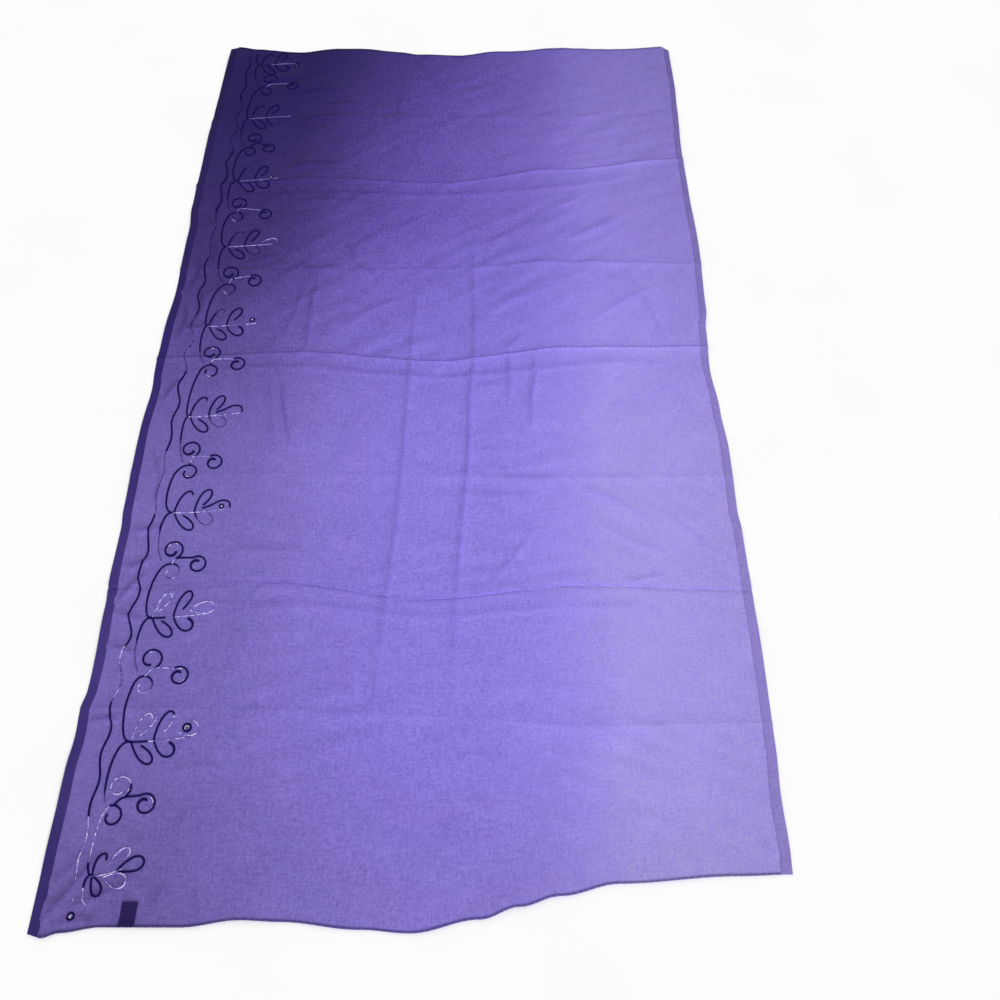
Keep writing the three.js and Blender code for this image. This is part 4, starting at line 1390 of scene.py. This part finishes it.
# How far the painted shade lags behind over the middle of the width, in share of the length
SHADE_LAG = [(0.1, 0.0), (0.36, 0.5), (0.6, 0.5), (0.9, 0.1)]
SHADE_LAG_FULL = 0.1
SHADE_ACROSS_UNDO = 2  # undoes the halving in the painted shade's share across the width
DRIFT = {"scale": 7.0, "along": 0.06, "across": 0.05}  # slow patches that shift the dye both ways
GREYING = (0.94, 1.0, 0.72, 1)  # what full greying multiplies the colour by
HALF_LENGTH = 976.5


def dye_and_shade_paleness(finish, place):
    """Paleness: the dye's own across(x), less painted shade along(y - lag(x)) * taken_up(x) that darkens the
    far end, from 0 deep to 1 pale.
    """
    across = finish.share(place, "X", HALF_WIDTH)
    along = finish.share(place, "Y", HALF_LENGTH)
    drift = finish.noise(place, DRIFT["scale"]) - 0.5
    late = along - finish.ramp(across, SHADE_LAG) * SHADE_LAG_FULL + drift * DRIFT["along"]
    # Painted shade: darker towards the far end, most on the dark side
    far_shade = finish.ramp(late, PAINTED_SHADE_ALONG) * finish.ramp(across, SHADE_ACROSS) * SHADE_ACROSS_UNDO
    return finish.ramp(across + drift * DRIFT["across"], PALE_ACROSS) - far_shade


def dyed(finish, place, paleness, more_grey=0.0):
    """The dye's colour at a paleness, greyed by the middle's share eased over to each end's."""
    across = finish.share(place, "X", HALF_WIDTH)
    along = finish.share(place, "Y", HALF_LENGTH)
    middle = finish.ramp(across, GREYED_MIDDLE)
    near = (finish.ramp(across, GREYED_NEAR) - middle) * finish.ramp(along, NEAR_PART)
    far = (finish.ramp(across, GREYED_FAR) - middle) * finish.ramp(along, FAR_PART)
    greyed = middle + near + far + more_grey
    colour = finish.ramp(paleness, DYE_STOPS)
    grey = finish.tinted(1.0, colour, GREYING, "MULTIPLY")
    return finish.tinted(greyed, colour, grey)


# %% [markdown]
# ## The voile
#
# Voile is a plain weave of hard-twisted yarn, open enough to look through, and the twist leaves a fine
# pebbled grain. Three noises make it: a mottle a few millimetres wide, and two drawn out along warp and weft
# for the slubs. A fourth and a fifth are drawn out along the way the cloth was dragged, up to the right over
# the far half and down to the right over the near half; they are the fine drag wrinkles, given as relief and
# also painted into the colour as their shade. Single threads are finer than anything seen from a step away,
# so the weave is bump alone: the product of two sine bands a few millimetres wide, for the unevenness of
# groups of threads.

# %% The voile's finish
MOTTLE = 0.42
SLUB = 0.2
# Painted shade of the fine drag wrinkles, as a share of paleness
WRINKLE_SHADE = 0.13
STREAK_SIZE = (0.09, 0.03, 1)  # metres along the drag and across it
DRAGGED_FAR = np.radians(36)
DRAGGED_NEAR = np.radians(-26)
# The far half's part in the streaks by share of the length, and how strongly they show
STREAKS_TURN = [(0.4, 0.0), (0.6, 1.0)]
STREAKS_ALONG = [(0.3, 0.5), (0.55, 1.0)]
# How strongly the grain shows by share of the width: most over the middle
GRAIN_ACROSS = [(0.0, 0.75), (0.12, 0.85), (0.3, 0.95), (0.6, 0.9), (0.72, 0.65), (1.0, 0.65)]
WEAVE_SCALE = 70  # in Blender's band units: 1400 radians a metre, one wave every 4.5 mm
MOTTLE_SCALE = 230.0  # features for each metre
SLUB_SCALES = [(34.0, 520.0, 1.0), (520.0, 34.0, 1.0)]  # the same along X, Y and Z: weft, then warp
CREASE_SHADE_DEEPER = 0.12  # how much paleness the dye loses under the full painted crease shade
# How deep each finish's relief is, in metres
RELIEF = {"voile": 0.0005, "dark_hem": 0.0006, "roll": 0.0005, "tab": 0.0002, "thread": 0.0002}


def grain(finish, place):
    """Mottle and slubs about nought: one round noise and two drawn along the threads."""
    mottle = finish.noise(place, MOTTLE_SCALE, 3.0, 0.62) - 0.5
    weft, warp = (finish.noise(finish.stretched(place, scale), 1.0) - 0.5 for scale in SLUB_SCALES)
    return mottle, weft + warp


def drag_wrinkles(finish, place):
    """Noise about nought drawn out along the drag wrinkles, for their relief and their painted shade: the
    near half's, eased over to the far half's.
    """
    along = finish.share(place, "Y", HALF_LENGTH)
    near, far = (
        finish.noise(finish.turned(place, angle, STREAK_SIZE), 1.0)
        for angle in (DRAGGED_NEAR, DRAGGED_FAR)
    )
    drawn = near + (far - near) * finish.ramp(along, STREAKS_TURN) - 0.5
    return drawn * finish.ramp(along, STREAKS_ALONG)


def weave(finish, place):
    """Ups and downs of the weave: sin(x) * sin(y)."""
    over, under = (finish.bands(place, direction, WEAVE_SCALE) for direction in "XY")
    return (over - 0.5) * (under - 0.5)


def voile_finish(name, depth, more_grey):
    """The cloth's finish; depth takes some paleness off where the cloth lies double, as in a hem, and
    more_grey some of its blue. Painted shade along the creases and folds takes more paleness off."""
    finish = Finish(name)
    place = finish.place()
    mottle, slub = grain(finish, place)
    wrinkle = drag_wrinkles(finish, place)
    # Painted shade: the dye loses paleness along the creases and folds
    paleness = dye_and_shade_paleness(finish, place) - depth - finish.attribute("doubled") * CREASE_SHADE_DEEPER
    across = finish.share(place, "X", HALF_WIDTH)
    strength = finish.ramp(across, GRAIN_ACROSS) * (paleness * 0.5 + 0.5)
    # The drag wrinkles' painted shade goes into the colour here, with the grain
    uneven = paleness + (mottle * MOTTLE + slub * SLUB + wrinkle * WRINKLE_SHADE) * strength
    colour = dyed(finish, place, uneven, more_grey)
    relief = mottle * 0.8 + slub * 0.5 + wrinkle + weave(finish, place) * 0.4
    return finish.surface(
        Base_Color=colour,
        Roughness=0.86,
        Specular_IOR_Level=0.1,
        Sheen_Weight=0.02,
        Sheen_Roughness=0.6,
        Normal=finish.bump(relief, RELIEF["voile"]),
    )


panel.data.materials.append(voile_finish("voile", 0.0, 0.0))
right_hem.data.materials.append(voile_finish("voile_double", 0.11, 0.45))

# %% [markdown]
# ## The dark hem, the rolls and the tab
#
# The dark hem is three layers of the deepest dye, so little light comes back through it. It gets its own two
# swatches, near and far, the far one darker with painted shade, and the same grain. The rolls are the
# cloth's dye seen through a tight roll, so they take the cloth's colour and multiply it down. The tab is a
# satin ribbon: soft ribs across it, about 6 mm apart, and a low gloss.

# %% Hem, roll and tab finishes
# The dark hem's dye by share of the length, with painted shade that darkens it towards the far end
DARK_HEM_STOPS = [
    (0.0, swatch(53, 42, 106)), (0.23, swatch(71, 56, 128)), (0.5, swatch(51, 38, 109)),
    (0.62, swatch(45, 33, 93)), (0.8, swatch(42, 30, 87)), (1.0, swatch(29, 20, 73)),
]
HEM_PATCH_SCALE = 14.0
WHIP_SCALE = 60.0
WHIP_SHADES = ((0.40, 0.40, 0.46, 1), (0.58, 0.58, 0.62, 1))
RIB_SCALE = 55.0
FLECK_SCALE = (900.0, 120.0, 1.0)


def dark_hem_finish():
    """Swatch by share of the length, darkening towards the far end as painted shade, with slow patches,
    slubs and the weave.
    """
    finish = Finish("dark_hem")
    place = finish.place()
    mottle, slub = grain(finish, place)
    patch = finish.noise(place, HEM_PATCH_SCALE) - 0.5
    along = finish.share(place, "Y", HALF_LENGTH)
    shifted = along + patch * 0.22 + mottle * 0.1 + slub * 0.12
    relief = mottle + slub + weave(finish, place) * 0.4
    return finish.surface(
        Base_Color=finish.ramp(shifted, DARK_HEM_STOPS),
        Roughness=0.85,
        Specular_IOR_Level=0.1,
        Normal=finish.bump(relief, RELIEF["dark_hem"]),
    )


def roll_finish():
    """The cloth's dye times a grey violet, with slanting whip stitches from a band texture."""
    finish = Finish("rolled_end")
    place = finish.place()
    mottle, slub = grain(finish, place)
    colour = dyed(finish, place, dye_and_shade_paleness(finish, place) + mottle * 0.15)
    whip = finish.bands(place, "DIAGONAL", WHIP_SCALE, 1.0)
    shade = finish.tinted(whip, *WHIP_SHADES)
    return finish.surface(
        Base_Color=finish.tinted(1.0, colour, shade, "MULTIPLY"),
        Roughness=0.8,
        Specular_IOR_Level=0.25,
        Normal=finish.bump(whip + slub, RELIEF["roll"]),
    )


def tab_finish():
    """Satin ribs across the tab, and a slightly paler selvedge thread here and there."""
    finish = Finish("satin_tab")
    place = finish.place()
    ribs = finish.bands(place, "Y", RIB_SCALE, 0.4)
    fleck = finish.noise(finish.stretched(place, FLECK_SCALE), 1.0)
    colour = finish.ramp(fleck * 0.6 + ribs * 0.2, [(0.2, swatch(33, 22, 75)), (0.7, swatch(43, 30, 90))])
    return finish.surface(
        Base_Color=colour,
        Roughness=0.62 - ribs * 0.12,
        Specular_IOR_Level=0.1,
        Normal=finish.bump(ribs + fleck * 0.4, RELIEF["tab"]),
    )


left_hem.data.materials.append(dark_hem_finish())
roll_material = roll_finish()
near_roll.data.materials.append(roll_material)
far_roll.data.materials.append(roll_material)
tab.data.materials.append(tab_finish())

# %% [markdown]
# ## Threads and stones
#
# The cord is a soft viscose yarn, near black violet with a low shine; where it has worn, its colour gives
# way to the cloth's own dye. The silver's colour carries painted highlights: each stitch's glint makes about
# half of them bright and half dark, and painted shade darkens it towards the far end. The stones are dark
# glass with a foil back, whose colour carries painted reflections, so one facet in three or four is bright
# and the rest are nearly black.

# %% Cord, silver and stone finishes
FIBRE_SCALE = 1500.0
WOUND_SCALE = 900.0
CELL_SCALE = 420.0
SILVER_SHADE_ALONG = [(0.35, 1.0), (0.55, 0.85), (0.75, 0.55), (0.9, 0.33)]  # painted shade: the silver darkens towards the far end, by share of the length


def cord_finish():
    """Dark yarn with fine fibres, mixed towards the cloth's dye by its wear."""
    finish = Finish("dark_cord")
    place = finish.place()
    fibre = finish.noise(place, FIBRE_SCALE)
    yarn = finish.ramp(fibre, [(0.25, swatch(8, 0, 66)), (0.75, swatch(24, 5, 94))])
    cloth = dyed(finish, place, dye_and_shade_paleness(finish, place) - 0.12)
    return finish.surface(
        Base_Color=finish.tinted(finish.attribute("worn") * 0.8, yarn, cloth),
        Roughness=0.65,
        Specular_IOR_Level=0.08,
        Normal=finish.bump(fibre, RELIEF["thread"]),
    )


def silver_finish():
    """Metal strip: brightness, a painted highlight, and metalness follow each stitch's own glint, and
    painted shade darkens the strip towards the far end."""
    finish = Finish("silver_thread")
    place = finish.place()
    wound = finish.noise(place, WOUND_SCALE, 1.0)
    # Painted shade: the silver darkens towards the far end
    silver_shade = finish.ramp(finish.share(place, "Y", HALF_LENGTH), SILVER_SHADE_ALONG)
    # Painted highlight: each stitch's glint sets how bright its colour is
    glint = (finish.attribute("glint") * 0.8 + wound * 0.3) * silver_shade
    stops = [(0.05, swatch(92, 78, 150)), (0.3, swatch(126, 110, 192)), (0.55, swatch(172, 158, 232))]
    stops += [(0.85, swatch(224, 216, 252))]
    return finish.surface(
        Base_Color=finish.ramp(glint, stops),
        Metallic=glint * 0.25,
        Roughness=0.45,
        Specular_IOR_Level=0.25,
        Normal=finish.bump(wound, RELIEF["thread"]),
    )


def stone_finish():
    """Dark glass with a foil back: cells of a coarse pattern are painted either bright, as the foil's
    reflection, or near black.
    """
    finish = Finish("cut_stone")
    place = finish.place()
    cells = finish.node("ShaderNodeTexVoronoi", {}, {"Vector": place, "Scale": CELL_SCALE}, "Color")
    pick = finish.node("ShaderNodeSeparateColor", {}, [cells], "Red")
    stops = [(0.0, swatch(30, 18, 70)), (0.45, swatch(66, 50, 120))]
    # Painted reflection: the bright stops stand in for light off the foil
    stops += [(0.55, swatch(170, 160, 215)), (1.0, swatch(250, 246, 255))]
    return finish.surface(Base_Color=finish.ramp(pick, stops), Roughness=0.12, Coat_Weight=0.6)


cord_material = cord_finish()
for piece in [*corded, trail, nests]:
    piece.data.materials.append(cord_material)
silver_material = silver_finish()
for piece in silvered:
    piece.data.materials.append(silver_material)
stone_material = stone_finish()
for piece in stones:
    piece.data.materials.append(stone_material)

# %% [markdown]
# ## Floor, light and camera
#
# The cloth lies on a plain white floor. An even white sky gives the soft part of the light, and a
# wide sun low over the near right shoulder rakes it, so that the near flank of each crease is
# bright and its far flank dark. The camera stands at the near end, 1.4 m up, looking down.

# %% Floor
FLOOR_SIZE = 14.0
FLOOR_DROP = 0.0004  # just under the cloth, so that the two never fight for one height


def floor():
    """One large square, a hair under the cloth."""
    half = FLOOR_SIZE / 2
    mesh = bpy.data.meshes.new("floor")
    corners = [(-half, -half), (half, -half), (half, half), (-half, half)]
    mesh.from_pydata([(x, y, -FLOOR_DROP) for x, y in corners], [], [(0, 1, 2, 3)])
    made = bpy.data.objects.new("floor", mesh)
    bpy.context.scene.collection.objects.link(made)
    finish = Finish("white_floor")
    tone = finish.noise(finish.place(), 3.0)
    colour = finish.ramp(tone, [(0.3, (0.93, 0.93, 0.93)), (0.7, (0.95, 0.95, 0.95))])
    mesh.materials.append(finish.surface(Base_Color=colour, Roughness=0.9, Specular_IOR_Level=0.1))
    return made


floor()

# %% Light
SKY = 0.72
KEY = 2.0
KEY_FROM = (0.42, -0.78, 0.52)  # the way to the light: right, near and up
KEY_WIDTH = np.radians(16)


def lights():
    """An even sky and one wide sun that shines from KEY_FROM."""
    world = bpy.data.worlds.new("sky")
    world.use_nodes = True
    background = world.node_tree.nodes["Background"]
    background.inputs["Color"].default_value = (1, 1, 1, 1)
    background.inputs["Strength"].default_value = SKY
    bpy.context.scene.world = world
    sun = bpy.data.lights.new("key", "SUN")
    sun.energy = KEY
    sun.angle = KEY_WIDTH
    made = bpy.data.objects.new("key", sun)
    made.rotation_euler = Vector(KEY_FROM).to_track_quat("Z", "Y").to_euler()
    bpy.context.scene.collection.objects.link(made)


lights()
bpy.context.scene.view_settings.view_transform = "Standard"

# %% Camera
CAMERA_AT = (0.1200, -1.0515, 1.3788)
CAMERA_PITCH = np.radians(29.07)
LENS = 32.4


def camera():
    """A camera over the near end, pitched up from straight down."""
    data = bpy.data.cameras.new("camera")
    data.lens = LENS
    data.sensor_width = 36
    made = bpy.data.objects.new("camera", data)
    made.location = CAMERA_AT
    made.rotation_euler = (CAMERA_PITCH, 0, 0)
    bpy.context.scene.collection.objects.link(made)
    bpy.context.scene.camera = made


camera()

# %% [markdown]
# ## Last facts
#
# The pieces that lie on the cloth are gathered in one list, and the last line brings the view layer up to
# date.

on_the_cloth = [left_hem, right_hem, near_roll, far_roll, tab, trail, nests]
on_the_cloth += [*corded, *silvered, *stones]
bpy.context.view_layer.update()
